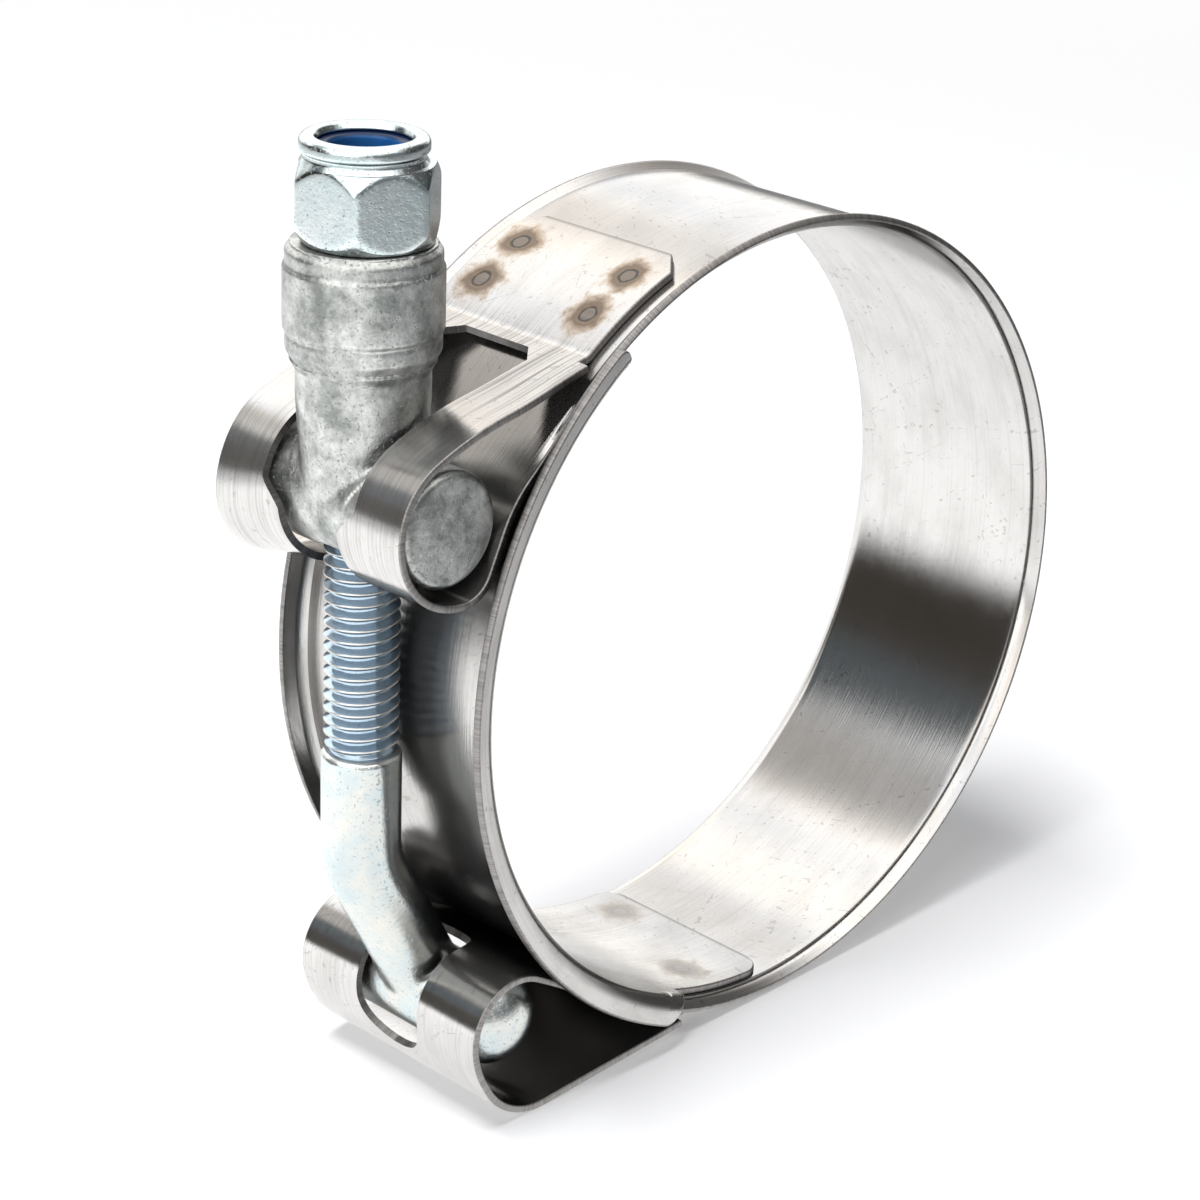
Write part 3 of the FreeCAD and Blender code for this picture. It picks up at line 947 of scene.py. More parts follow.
@dataclass(frozen=True)
class BrightStrip:
    """Bright rolled stainless strip, with rolling lines, scuffs and weld tint.

    welds are the marks' places in millimetres along and across the strip, and
    end_at is the distance at which the strip ends, where a thin line of painted shade stands in for the gap's
    shadow.
    """

    name: str
    colour: tuple = (0.80, 0.785, 0.765, 1.0)
    dull: tuple = (0.71, 0.695, 0.675, 1.0)
    roughness: float = 0.10
    relief: float = 0.08
    grooves: float = 0.60
    tint: float = 1.0
    welds: tuple = ()
    end_shade: float = 0.6
    end_at: float = 0.0
    weld_reach: float = 9.0
    groove_colour: tuple = (0.10, 0.095, 0.09, 1.0)
    scratch_colour: tuple = (0.22, 0.21, 0.20, 1.0)
    end_shade_colour: tuple = (0.08, 0.075, 0.07, 1.0)

    def weld_distance(self, t: Tree, uv: Socket) -> Value:
        """Distance to the nearest weld mark, weld_reach at most.

        Args:
            t: the material's tree.
            uv: the strip's map.

        Returns:
            The distance in millimetres.
        """
        away = self.weld_reach
        for run, width in self.welds:
            there = (run * MAP_SCALE, width * MAP_SCALE, 0.0)
            gap = t.add("VectorMath", {0: uv, 1: there}, operation="DISTANCE").outputs["Value"]
            away = t.math("MINIMUM", t.math("MULTIPLY", gap, 1.0 / MAP_SCALE), away)
        return away

    def end_shade_mask(self, t: Tree, uv: Socket) -> Socket:
        """A thin line of painted shade where the strip ends, standing in for the shadow of the gap there.

        Args:
            t: the material's tree.
            uv: the strip's map.

        Returns:
            The line's mask.
        """
        along_strip = t.add("SeparateXYZ", {0: uv}).outputs[0]
        from_end = t.math("ABSOLUTE", t.math("SUBTRACT", along_strip, self.end_at * MAP_SCALE))
        return t.ramp(from_end, [(0.0, self.end_shade), (0.0013, self.end_shade), (0.0022, 0.0)])

    def make(self, effects: Effects) -> bpy.types.Material:
        """Builds the material.

        Args:
            effects: the shared node groups.

        Returns:
            The material.
        """
        material, t, shader = start_material(self.name)
        uv = t.add("UVMap", uv_map="strip").outputs[0]
        rubbed = t.value("rubbed")
        lines = t.add("Group", {"Vector": uv}, node_tree=effects.rolling).outputs
        marks = t.add("Group", {"Vector": uv, "Scale": 60.0}, node_tree=effects.scuffs).outputs[0]
        weld = {"Distance": self.weld_distance(t, uv), "Vector": t.stretched(uv, (0.1, 0.1, 1.0))}
        heat = t.add("Group", weld, node_tree=effects.heat).outputs
        base = t.mix(t.ramp(lines["Cloud"], [(0.42, 0.0), (0.66, 1.0)]), self.colour, self.dull)
        groove = t.ramp(lines["Grooves"], [(0.40, 1.0), (0.47, 0.0), (0.56, 0.0), (0.60, 0.7)])
        groove = t.math("MULTIPLY", groove, rubbed)
        base = t.mix(t.math("MULTIPLY", groove, self.grooves), base, self.groove_colour)
        base = t.mix(t.math("MULTIPLY", marks, 0.30), base, self.scratch_colour)
        base = t.mix(t.math("MULTIPLY", heat["Mask"], self.tint), base, heat["Colour"])
        # painted shade: a thin dark line at the strip's end stands in for the gap's shadow
        base = t.mix(self.end_shade_mask(t, uv), base, self.end_shade_colour)
        rough = t.scaled(lines["Cloud"], 0.14, self.roughness - 0.06)
        rough = t.math("ADD", rough, t.math("MULTIPLY", heat["Mask"], 0.25))
        rough = t.math("ADD", rough, t.math("MULTIPLY", rubbed, 0.10))
        deep = t.math("MULTIPLY", t.math("MULTIPLY", lines["Grooves"], rubbed), 3.0)
        shallow = t.math("SUBTRACT", lines["Lines"], t.math("MULTIPLY", marks, 0.9))
        t.feed(shader, {
            "Base Color": darker_in_mirrors(t, base),
            "Metallic": t.scaled(rubbed, -0.22, 1.0),
            "Roughness": rough,
            "Anisotropic": 0.25,
            "Normal": t.bump(t.math("ADD", shallow, deep), self.relief),
            "Tangent": t.add("Tangent", direction_type="UV_MAP", uv_map="strip").outputs[0],
        })
        return material


@dataclass(frozen=True)
class ShearedEdge:
    """Grey, finely torn edge that slitting leaves on the strip."""

    name: str = "sheared edge"
    colour: tuple = (0.50, 0.48, 0.47, 1.0)
    dark: tuple = (0.26, 0.25, 0.24, 1.0)
    roughness: float = 0.42
    relief: float = 0.35

    def make(self, effects: Effects) -> bpy.types.Material:
        """Builds the material.

        Args:
            effects: the shared node groups, which this finish doesn't need.

        Returns:
            The material.
        """
        material, t, shader = start_material(self.name)
        uv = t.add("UVMap", uv_map="strip").outputs[0]
        tears = t.noise(t.stretched(uv, (60.0, 1.0, 1.0)), 12.0, 5.0, 0.7)
        base = t.mix(t.ramp(tears, [(0.35, 0.0), (0.62, 1.0)]), self.dark, self.colour)
        t.feed(shader, {
            "Base Color": darker_in_mirrors(t, base),
            "Roughness": self.roughness,
            "Normal": t.bump(tears, self.relief),
        })
        return material


@dataclass(frozen=True)
class Plating:
    """Zinc plating on steel or a casting: bloom, pits and a soft shine."""

    name: str
    colour: tuple
    bloom: tuple
    roughness: float
    size: float
    relief: float
    metallic: float = 1.0
    pitting: float = 0.30
    # pale colour for painted glints on the thread's crests, and the pale tone of its shoulder
    crest_glint_and_shoulder_tone: tuple = (0.92, 0.90, 0.84, 1.0)
    pit_colour: tuple = (0.10, 0.10, 0.10, 1.0)

    def make(self, effects: Effects) -> bpy.types.Material:
        """Builds the material.

        Args:
            effects: the shared node groups.

        Returns:
            The material.
        """
        material, t, shader = start_material(self.name)
        place = {"Vector": t.add("TexCoord").outputs["Object"], "Size": self.size}
        grain = t.add("Group", place, node_tree=effects.grain).outputs
        blend = t.ramp(grain["Bloom"], [(0.38, 0.0), (0.66, 1.0)])
        base = t.mix(blend, self.colour, self.bloom)
        base = t.mix(t.math("MULTIPLY", grain["Pits"], self.pitting), base, self.pit_colour)
        # painted highlight: thread crests take a pale colour as glints; the thread's shoulder rings take it too,
        # to match the shank's pale tone
        base = t.mix(t.value("crest_glint_and_shoulder_tone"), base, self.crest_glint_and_shoulder_tone)
        t.feed(shader, {
            "Base Color": darker_in_mirrors(t, base),
            "Metallic": self.metallic,
            "Roughness": t.scaled(grain["Bloom"], 0.16, self.roughness - 0.08),
            "Normal": t.bump(grain["Height"], self.relief, 0.00012),
        })
        return material


@dataclass(frozen=True)
class Nylon:
    """Deep blue nylon of the locking ring, darker on its top."""

    name: str = "blue nylon"
    colour: tuple = (0.010, 0.055, 0.18, 1.0)
    bright: tuple = (0.016, 0.12, 0.34, 1.0)
    top: tuple = (0.003, 0.012, 0.045, 1.0)
    roughness: float = 0.28
    relief: float = 0.1

    def make(self, effects: Effects) -> bpy.types.Material:
        """Builds the material.

        Args:
            effects: the shared node groups, which this finish doesn't need.

        Returns:
            The material.
        """
        material, t, shader = start_material(self.name)
        cloud = t.noise(t.add("TexCoord").outputs["Object"], 900.0, 3.0)
        t.feed(shader, {
            "Base Color": t.mix(t.value("top"), t.mix(cloud, self.colour, self.bright), self.top),
            "Metallic": 0.0,
            "Roughness": self.roughness,
            "Normal": t.bump(cloud, self.relief),
        })
        return material


def darker_in_mirrors(t: Tree, colour: Socket) -> Socket:
    """The colour, darkened for glossy rays: painted shade, so that metal mirrored in metal falls off and its
    hollows and the gaps between parts look dark.

    Args:
        t: the material's tree.
        colour: the colour that the camera sees.

    Returns:
        The mixed colour.
    """
    share = 0.72
    glossy = t.add("LightPath").outputs["Is Glossy Ray"]
    return t.mix(t.math("MULTIPLY", glossy, share), colour, (0.02, 0.018, 0.016, 1.0))


def start_material(name: str) -> tuple:
    """Starts a metal material.

    Args:
        name: material name.

    Returns:
        The material, its Tree and its shader.
    """
    material = bpy.data.materials.new(name)
    material.use_nodes = True
    shader = material.node_tree.nodes["Principled BSDF"]
    shader.inputs["Metallic"].default_value = 1.0
    return material, Tree(material.node_tree), shader


def put_on(piece: bpy.types.Object, materials: list, body: Body, node: str) -> None:
    """Gives a piece its materials and its body, and hides the imported node that it stands for.

    Args:
        piece: the piece.
        materials: its materials in the order of its faces' indices.
        body: the body that it rides on.
        node: node of the record.
    """
    for material in materials:
        piece.data.materials.append(material)
    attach(piece, body.value)
    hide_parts(node)
    LOG.info("%s rides on %s", piece.name, body.value)


@dataclass(frozen=True)
class RingSizes:
    """Sizes that the band and the bridge share, in millimetres and degrees."""

    bore_r: float
    strip_t: float = 0.6
    bridge_t: float = 0.6
    band_half: float = 10.65
    edge_width: float = 0.88
    edge_rise: float = 0.70
    tab_gap: float = 0.01

    @property
    def inner_r(self) -> float:
        """Radius of the band's hose side."""
        return self.bore_r + self.bridge_t

    @property
    def ring_r(self) -> float:
        """Radius of the band's middle line."""
        return self.inner_r + self.strip_t / 2

    @property
    def tab_r(self) -> float:
        """Radius of the middle line of a tab that lies on the ring."""
        return self.ring_r + self.strip_t + self.tab_gap

    @property
    def bridge_r(self) -> float:
        """Radius of the bridge's middle line."""
        return self.bore_r + self.bridge_t / 2


@dataclass(frozen=True)
class Marks:
    """Distances along the band's strip, in millimetres, at which something starts or ends."""

    upper_step: float
    lower_step: float
    slot_start: float
    narrow_from: float
    narrow_to: float
    foot: float
    ring_from: float
    run_out_up: float
    ring_to: float
    run_out_low: float
    head_from: float
    head_to: float

    def stations(self, slot_clip: float) -> np.ndarray:
        """Distances that need samples of their own: the first tab, and the ends of tabs and slots.

        Args:
            slot_clip: length of the upper slot's clipped corners.

        Returns:
            The distances.
        """
        thin = 0.02
        tab_run = 14.0
        near = np.geomspace(0.05, 3.4, 8)
        return np.concatenate([
            [self.upper_step, self.upper_step + thin, self.lower_step, self.lower_step + thin],
            [self.slot_start, self.foot, self.head_from, self.head_to],
            np.linspace(0.0, tab_run, 70),
            self.slot_start + np.linspace(0.1, slot_clip, 8),
            self.foot - np.geomspace(0.05, 3.0, 8),
            self.head_from + near,
            self.head_to - near,
        ])


@dataclass
class Band:
    """The one-piece strip: ring, two loops, slots and welded tabs.

    Sizes are in millimetres. Angles are in degrees round the ring's axis, from
    +X towards +Z. The upper loop holds the trunnion, the lower one the head.
    """

    sizes: RingSizes
    frame: BoltFrame
    bend_r: float = 1.5
    tab_half: float = 9.3
    tab_corner: float = 2.0
    upper_tab_end: float = 106.4
    upper_meet: float = 126.5
    upper_slope: float = 9.3
    upper_step: float = 0.9
    upper_loop_r: float = 6.04
    upper_standoff: float = 5.7
    upper_angle: float = 152.53
    shoulder_r: float = 30.0
    corner_r: float = 3.0
    leg_angle: float = 154.0
    leg_standoff: float = 1.45
    fillet_r: float = 10.0
    leave_angle: float = 130.0
    lower_tab_end: float = 277.5
    lower_meet: float = 257.4
    lower_slope: float = 2.9
    lower_step: float = 3.6
    lower_loop_r: float = 4.43
    lower_standoff: float = 6.43
    lower_angle: float = 221.43
    side_r: float = 8.0
    side_bulge: float = 0.33
    side_angle: float = 207.4
    lower_corner_r: float = 6.4
    wide_slot: float = 5.3
    slot_far_run: float = 1.0
    slot_clip: float = 1.7
    bolt_slot: float = 3.4
    lower_slot: float = 3.7
    weld_angles: tuple = (112.6, 120.5)
    weld_widths: tuple = (6.6, -5.9)
    near_taper: float = 0.08
    narrow_above: float = 1.55
    narrow_below: float = 0.5
    foot_out: float = 3.7
    foot_down: float = 5.2
    head_top: float = 50.0
    head_out: float = 228.0
    edge_bend: float = 0.35
    edge_spare: float = 0.6
    far_from: float = 3.6
    far_width: float = 7.0
    upper_drop: tuple = (0.35, 1.05)
    lower_drop: tuple = (0.12, 0.08)
    rub_before: float = 4.0
    rub_after: float = 13.0
    rub_fade: float = 5.0
    least_rubbed: float = 0.10
    upper_loop_rubbed: float = 0.32
    lower_loop_rubbed: float = 0.18

    def welds(self) -> tuple:
        """Weld marks of the upper tab: distance along the strip and across it."""
        return tuple((self.sizes.tab_r * math.radians(a - self.upper_tab_end), w)
                     for a in self.weld_angles for w in self.weld_widths)

    def leg_meets_ring(self, normal: float, meet: float, side: float) -> tuple:
        """Bend that joins a straight leg to the tab on the ring.

        Args:
            normal: angle of the leg's normal in degrees.
            meet: angle at which the leg's line would meet the tab's circle.
            side: +1 or -1, the side of the normal on which the bend lies.

        Returns:
            The bend's angle, and the leg's distance from the ring's axis.
        """
        reach = self.sizes.tab_r * math.cos(math.radians(meet - normal))
        cosine = (reach + self.bend_r) / (self.sizes.tab_r + self.bend_r)
        return normal + side * math.degrees(math.acos(cosine)), reach

    def upper_runs(self) -> list:
        """Middle line from the upper tab round the trunnion to the ring.

        Each arc's centre follows from its radius and from the runs that it touches.

        Returns:
            The straights and arcs in order.
        """
        s = self.sizes
        normal = self.upper_slope + 90
        beta, reach = self.leg_meets_ring(normal, self.upper_meet, 1)
        loop = polar(self.upper_angle, s.ring_r + self.upper_standoff)
        gap = reach - along(loop, normal)
        turn = math.degrees(math.acos((self.shoulder_r - gap) / (self.shoulder_r - self.upper_loop_r)))
        top = normal + turn
        shoulder_c = polar(top + 180, self.shoulder_r - self.upper_loop_r, loop)
        leg_reach = s.ring_r + self.leg_standoff
        offset = self.upper_loop_r - self.corner_r
        swing = math.acos((leg_reach + self.corner_r - along(loop, self.leg_angle)) / offset)
        corner = self.leg_angle + math.degrees(swing)
        corner_c = polar(corner, offset, loop)
        bend = math.radians(self.leg_angle - self.leave_angle)
        near = s.ring_r - self.fillet_r
        tilt = math.atan2(leg_reach - self.fillet_r - near * math.cos(bend), near * math.sin(bend))
        fillet_c = polar(self.leave_angle + math.degrees(tilt), near / math.cos(tilt))
        tab = Arc(polar(0, 0), s.tab_r, self.upper_tab_end, beta)
        kink = Arc(polar(beta, s.tab_r + self.bend_r), self.bend_r, beta + 180, normal + 180)
        shoulder = Arc(shoulder_c, self.shoulder_r, normal, top)
        lower_corner = Arc(corner_c, self.corner_r, corner, self.leg_angle + 180)
        fillet = Arc(fillet_c, self.fillet_r, self.leg_angle, self.leave_angle)
        return [tab, kink, Straight(kink.end, shoulder.start), shoulder,
                Arc(loop, self.upper_loop_r, top, corner), lower_corner,
                Straight(lower_corner.end, fillet.start), fillet,
                Straight(fillet.end, polar(self.leave_angle, s.ring_r))]

    def lower_runs(self) -> list:
        """Middle line from the ring round the bolt's head to the lower tab.

        Each arc's centre follows from its radius and from the runs that it touches.

        Returns:
            The straights and arcs in order.
        """
        s = self.sizes
        loop = polar(self.lower_angle, s.ring_r + self.lower_standoff)
        cross = math.degrees(math.acos((s.ring_r + self.lower_loop_r) / float(np.hypot(*loop))))
        leave = self.lower_angle + cross
        gap = self.lower_loop_r + self.side_bulge
        turn = math.degrees(math.acos((self.side_r - gap) / (self.side_r - self.lower_loop_r)))
        side_start = self.side_angle - turn
        side_c = polar(side_start + 180, self.side_r - self.lower_loop_r, loop)
        floor_normal = self.lower_slope + 270
        beta, reach = self.leg_meets_ring(floor_normal, self.lower_meet, -1)
        side_reach = along(loop, self.side_angle) + gap - self.lower_corner_r
        bend = math.radians(floor_normal - self.side_angle)
        tilt = math.atan2(reach - self.lower_corner_r - side_reach * math.cos(bend),
                          side_reach * math.sin(bend))
        base_c = polar(self.side_angle + math.degrees(tilt), side_reach / math.cos(tilt))
        round_top = Arc(loop, self.lower_loop_r, leave - 180, side_start)
        flank = Arc(side_c, self.side_r, side_start, self.side_angle)
        corner = Arc(base_c, self.lower_corner_r, self.side_angle, floor_normal)
        kink = Arc(polar(beta, s.tab_r + self.bend_r), self.bend_r, floor_normal - 180, beta - 180)
        ring = Arc(polar(0, 0), s.ring_r, self.leave_angle, leave - 360)
        return [ring, Straight(ring.end, round_top.start), round_top, flank,
                Straight(flank.end, corner.start), corner, Straight(corner.end, kink.start), kink,
                Arc(polar(0, 0), s.tab_r, beta, self.lower_tab_end)]

    def build(self) -> bpy.types.Object:
        """Makes the strip.

        Returns:
            The piece.
        """
        s = self.sizes
        upper = self.upper_runs()
        lower = self.lower_runs()
        line = Line.of(upper + lower)
        marks = self.marks(line, upper, lower)
        line = line.with_stations(marks.stations(self.slot_clip))
        run = line.run
        slot, is_open = self.slots(run, marks)
        angle = math.degrees(math.atan2(s.edge_rise, s.edge_width))
        bends = [(s.band_half - s.edge_width, angle)]
        section = Section.bent(bends, s.band_half + self.edge_spare, self.edge_bend)
        lift = self.edge_lift(run, marks)
        reach = self.half_widths(run, marks, lift)
        sheet = Sheet(line, section, s.strip_t, reach, slot, is_open, lift, self.rubbing(run, marks))
        piece = sheet.build("band_strip", Dents(self.welds()))
        self.settle_straps(piece, line, marks)
        return piece

    def dress(self, effects: Effects) -> None:
        """Makes the strip and gives it its finish.

        Args:
            effects: the shared node groups.
        """
        finishes = [BrightStrip("bright strip", welds=self.welds()), ShearedEdge()]
        put_on(self.build(), [effects.material(f) for f in finishes], Body.BAND, "band")

    def marks(self, line: Line, upper: list, lower: list) -> Marks:
        """Finds where the strip's features start and end.

        Args:
            line: the strip's middle line.
            upper: its runs as far as the ring.
            lower: its runs from the ring on.

        Returns:
            Their distances along the line.
        """
        pin = upper[4].centre
        head = lower[2].centre
        side_x = pin[0] - self.upper_loop_r
        total = line.run[-1]
        longest_leg = 40.0
        ring_from = line.nearest(upper[-1].end)
        ring_to = line.nearest(lower[0].end, ring_from + 60.0)
        upper_kink = line.nearest(upper[1].end, 0.0, longest_leg)
        lower_kink = line.nearest(lower[7].start, total - longest_leg)
        loop = (upper_kink, ring_from)
        foot = np.array([self.frame.centre[0] + self.foot_out, pin[1] - self.foot_down])
        out_r = self.lower_loop_r + 1.2
        return Marks(
            upper_step=upper_kink + self.upper_step,
            lower_step=lower_kink - self.lower_step,
            slot_start=upper_kink + self.slot_far_run,
            narrow_from=line.nearest(np.array([side_x, pin[1] + self.narrow_above]), *loop),
            narrow_to=line.nearest(np.array([side_x, pin[1] - self.narrow_below]), *loop),
            foot=line.nearest(foot, *loop),
            ring_from=ring_from,
            run_out_up=line.nearest(upper[7].end, upper_kink),
            ring_to=ring_to,
            run_out_low=line.nearest(lower[1].end, ring_to),
            head_from=line.nearest(polar(self.head_top, self.lower_loop_r, head), ring_to, total),
            head_to=line.nearest(polar(self.head_out, out_r, head), ring_to, total),
        )

    def half_widths(self, run: np.ndarray, marks: Marks, lift: np.ndarray) -> np.ndarray:
        """Developed half width: narrower tabs with clipped corners, more where edges are rolled.

        Args:
            run: distances along the strip.
            marks: where its features start and end.
            lift: how far its edges are rolled.

        Returns:
            The half width at each distance.
        """
        s = self.sizes
        reach = np.where((run < marks.upper_step) | (run > marks.lower_step), self.tab_half, s.band_half)
        clip = np.minimum(run, run[-1] - run)
        corner = np.minimum(reach, self.tab_half - self.tab_corner + clip)
        reach = np.where(clip > self.tab_corner, reach, corner)
        stretch = math.hypot(s.edge_width, s.edge_rise) - s.edge_width
        return reach + stretch * lift * (reach > s.band_half - s.edge_width)

    def rubbing(self, run: np.ndarray, marks: Marks) -> np.ndarray:
        """How rubbed the strip is: fully round the upper tab's step, some on the loops.

        Args:
            run: distances along the strip.
            marks: where its features start and end.

        Returns:
            A share from 0 to 1 at each distance.
        """
        step = marks.upper_step
        fade = self.rub_fade
        leg = window(run, step - self.rub_before, step + self.rub_after, fade, 9.0)
        upper = window(run, marks.narrow_from - 12.0, marks.foot + 3.0, fade, fade)
        lower = window(run, marks.head_from, marks.head_to + 3.0, fade, fade)
        rubbed = self.least_rubbed + (1.0 - self.least_rubbed) * leg
        return np.maximum.reduce([rubbed, self.upper_loop_rubbed * upper, self.lower_loop_rubbed * lower])

    @staticmethod
    def round_end(slot: np.ndarray, gap: np.ndarray, half: float) -> np.ndarray:
        """Narrows a slot to a half circle where its end is nearer than its half width."""
        bow = np.sqrt(np.clip(half ** 2 - (half - gap) ** 2, 0.3, None))
        return np.where((gap > -TINY) & (gap < half), np.minimum(slot, bow), slot)

    def slots(self, run: np.ndarray, marks: Marks) -> tuple:
        """The slots along the strip.

        The upper one starts wide with clipped corners and narrows on the
        loop's side to the bolt's width. The other ends are half circles.

        Args:
            run: distances along the strip.
            marks: where its features start and end.

        Returns:
            The half width at each distance, and for each stretch whether it is open.
        """
        part = (run - marks.narrow_from) / (marks.narrow_to - marks.narrow_from)
        share = 0.3 * smoothstep(part) + 0.7 * np.clip(part, 0.0, 1.0)
        slot = self.wide_slot + (self.bolt_slot - self.wide_slot) * share
        from_start = run - marks.slot_start
        clip = self.wide_slot - self.slot_clip + np.maximum(from_start, 0.0)
        slot = np.where(from_start < self.slot_clip, np.minimum(slot, clip), slot)
        slot = self.round_end(slot, marks.foot - run, self.bolt_slot)
        slot = np.where(run > marks.foot + TINY, self.lower_slot, slot)
        for gap in (run - marks.head_from, marks.head_to - run):
            slot = self.round_end(slot, gap, self.lower_slot)
        is_upper = (from_start >= -TINY) & (run <= marks.foot + TINY)
        is_lower = (run >= marks.head_from - TINY) & (run <= marks.head_to + TINY)
        inside = is_upper | is_lower
        return slot, inside[:-1] & inside[1:]

    def edge_lift(self, run: np.ndarray, marks: Marks) -> np.ndarray:
        """How far the edges are rolled: fully on the ring, fading along both legs.

        Args:
            run: distances along the strip.
            marks: where its features start and end.

        Returns:
            A share from 0 to 1 at each distance.
        """
        up = smoothstep((run - marks.run_out_up) / (marks.ring_from - marks.run_out_up))
        down = smoothstep((marks.run_out_low - run) / (marks.run_out_low - marks.ring_to))
        return up * down

    def settle_straps(self, piece: bpy.types.Object, line: Line, marks: Marks) -> None:
        """Lowers the far side of each loop's strap a little and narrows the near half of the upper leg.

        Each shift is a smooth bump along the strip times a smooth step across it.

        Args:
            piece: the strip.
            line: its middle line.
            marks: where its features start and end.
        """
        points = vertex_points(piece)
        run = np.repeat(line.run, len(points) // len(line.run))
        far = smoothstep((points[:, 1] / MM - self.far_from) / self.far_width)
        near = smoothstep((marks.narrow_from - 13.0 - run) / 9.0) * (points[:, 1] < 0.0)
        upper = window(run, marks.narrow_from - 6.0, marks.foot + 1.0, 9.0, 8.0)
        lower = window(run, marks.head_from + 4.0, marks.head_to + 6.0, 7.0, 7.0)
        points[:, 1] *= 1.0 - self.near_taper * near
        shift = np.outer(upper * far, self.upper_drop) + np.outer(lower * far, self.lower_drop)
        points[:, [0, 2]] -= shift * MM
        move_vertices(piece, points)


@dataclass
class Bridge:
    """The thin channel under the bolt, with its leaning flanges and welded tab."""

    sizes: RingSizes
    top_angle: float = 123.9
    bottom_angle: float = 249.9
    tab_end: float = 269.7
    base_half: float = 10.5
    tab_half: float = 9.5
    tab_corner_r: float = 2.0
    bend_height: float = 0.9
    bend_angle: float = 55.0
    rim_height: float = 1.35
    rim_angle: float = 74.0
    corner_r: float = 0.9
    lower_slant: float = 2.6
    weld_places: tuple = ((265.3, 5.6), (258.3, -5.9))
    weld_depth: float = 0.05
    bend_width: float = 0.55
    rubbed: float = 0.15

    def build(self) -> bpy.types.Object:
        """Makes the bridge.

        Returns:
            The piece.
        """
        s = self.sizes
        line = Line.of([Arc(polar(0, 0), s.bridge_r, self.top_angle, self.tab_end)])
        step = s.bridge_r * math.radians(self.bottom_angle - self.top_angle)
        end = line.run[-1]
        line = line.with_stations(np.concatenate([
            [step, step + 0.02], np.geomspace(0.03, 1.2, 9), step - np.linspace(0.0, 3.2, 12),
            end - np.geomspace(0.02, 2.2, 12), np.linspace(step, end, 60)]))
        line = Line(line.points, -line.normals, line.run)
        run = line.run
        first = self.bend_height / math.sin(math.radians(self.bend_angle))
        second = self.rim_height / math.sin(math.radians(self.rim_angle))
        full = self.base_half + first + second
        bends = [(self.base_half + 0.1, self.bend_angle),
                 (self.base_half + first, self.rim_angle - self.bend_angle)]
        reach = full - self.rounding(run, self.corner_r)
        slant = np.clip((run - (step - self.lower_slant)) / self.lower_slant, 0.0, 1.0)
        reach -= slant ** 2 * (full - self.base_half - 0.2)
        reach = np.where(run > step + 0.01, self.tab_half, reach)
        reach -= self.rounding(end - run, self.tab_corner_r)
        whole = np.ones(len(run))
        section = Section.bent(bends, full + 1.0, self.bend_width)
        closed = np.zeros(len(run) - 1, bool)
        sheet = Sheet(line, section, s.bridge_t, reach, 2.0 * whole, closed, whole, self.rubbed * whole,
                      side_columns=34)
        return sheet.build("bridge_channel", Dents(self.welds(), self.weld_depth))

    def dress(self, effects: Effects) -> None:
        """Makes the bridge and gives it its finish.

        Args:
            effects: the shared node groups.
        """
        channel = BrightStrip("bridge steel", (0.73, 0.715, 0.695, 1.0), (0.62, 0.605, 0.585, 1.0), 0.15,
                              tint=0.4, welds=self.welds(), end_at=self.length())
        finishes = [effects.material(channel), effects.material(ShearedEdge())]
        put_on(self.build(), finishes, Body.BAND, "bridge")

    @staticmethod
    def rounding(gap: np.ndarray, radius: float) -> np.ndarray:
        """What a corner of a radius takes off the width at a distance from the sheet's end."""
        return radius - np.sqrt(radius ** 2 - np.clip(radius - gap, 0.0, radius) ** 2)

    def length(self) -> float:
        """Length of the channel with its tab along its middle."""
        return self.sizes.bridge_r * math.radians(self.tab_end - self.top_angle)

    def welds(self) -> tuple:
        """Weld marks of the tab: distance along the channel and across it."""
        r = self.sizes.bridge_r
        return tuple((r * math.radians(a - self.top_angle), w) for a, w in self.weld_places)


@dataclass
class Trunnion:
    """The cast cross pin and barrel, softened as a casting is, with a raised band on its collar."""

    frame: BoltFrame
    voxel: float = 0.165
    rounds: int = 3
    band_low: float = 13.2
    band_high: float = 18.0
    band_proud: float = 0.09
    band_edge: float = 0.25
    groove_below: float = 0.28
    groove_width: float = 0.3
    groove_share: float = 0.7
    shrink: float = 0.16
    pin_r: float = 5.5

    def build(self, node: bpy.types.Object) -> bpy.types.Object:
        """Makes the casting from the node's own form, with its edges softened.

        Past pin_r from the bolt's axis, each vertex moves away from the axis
        by the raised band's height at its level, less the shrinkage.

        Args:
            node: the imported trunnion.

        Returns:
            The piece.
        """
        piece = softened(node, "trunnion_casting", self.voxel, self.rounds)
        local = vertex_points(piece) / MM - self.frame.centre
        s = local @ self.frame.axis
        out = local - s[:, None] * self.frame.axis
        r = np.linalg.norm(out, axis=1)
        raised = smoothstep((s - self.band_low) / self.band_edge + 0.5)
        raised = raised - smoothstep((s - self.band_high) / self.band_edge + 0.5)
        groove = smoothstep(1.0 - np.abs(s - self.band_low + self.groove_below) / self.groove_width)
        raised = raised - self.groove_share * groove
        rise = (self.band_proud * raised - self.shrink) * (r > self.pin_r)
        local = local + out / r[:, None] * rise[:, None]
        move_vertices(piece, (local + self.frame.centre) * MM)
        return piece

    def dress(self, effects: Effects, node: bpy.types.Object) -> None:
        """Makes the casting and gives it its finish.

        Args:
            effects: the shared node groups.
            node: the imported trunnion.
        """
        cast = Plating("plated casting", (0.34, 0.36, 0.345, 1.0), (0.96, 0.98, 0.95, 1.0),
                       roughness=0.33, size=1.0, relief=0.60, metallic=0.94)
        put_on(self.build(node), [effects.material(cast)], Body.TRUNNION, "trunnion")


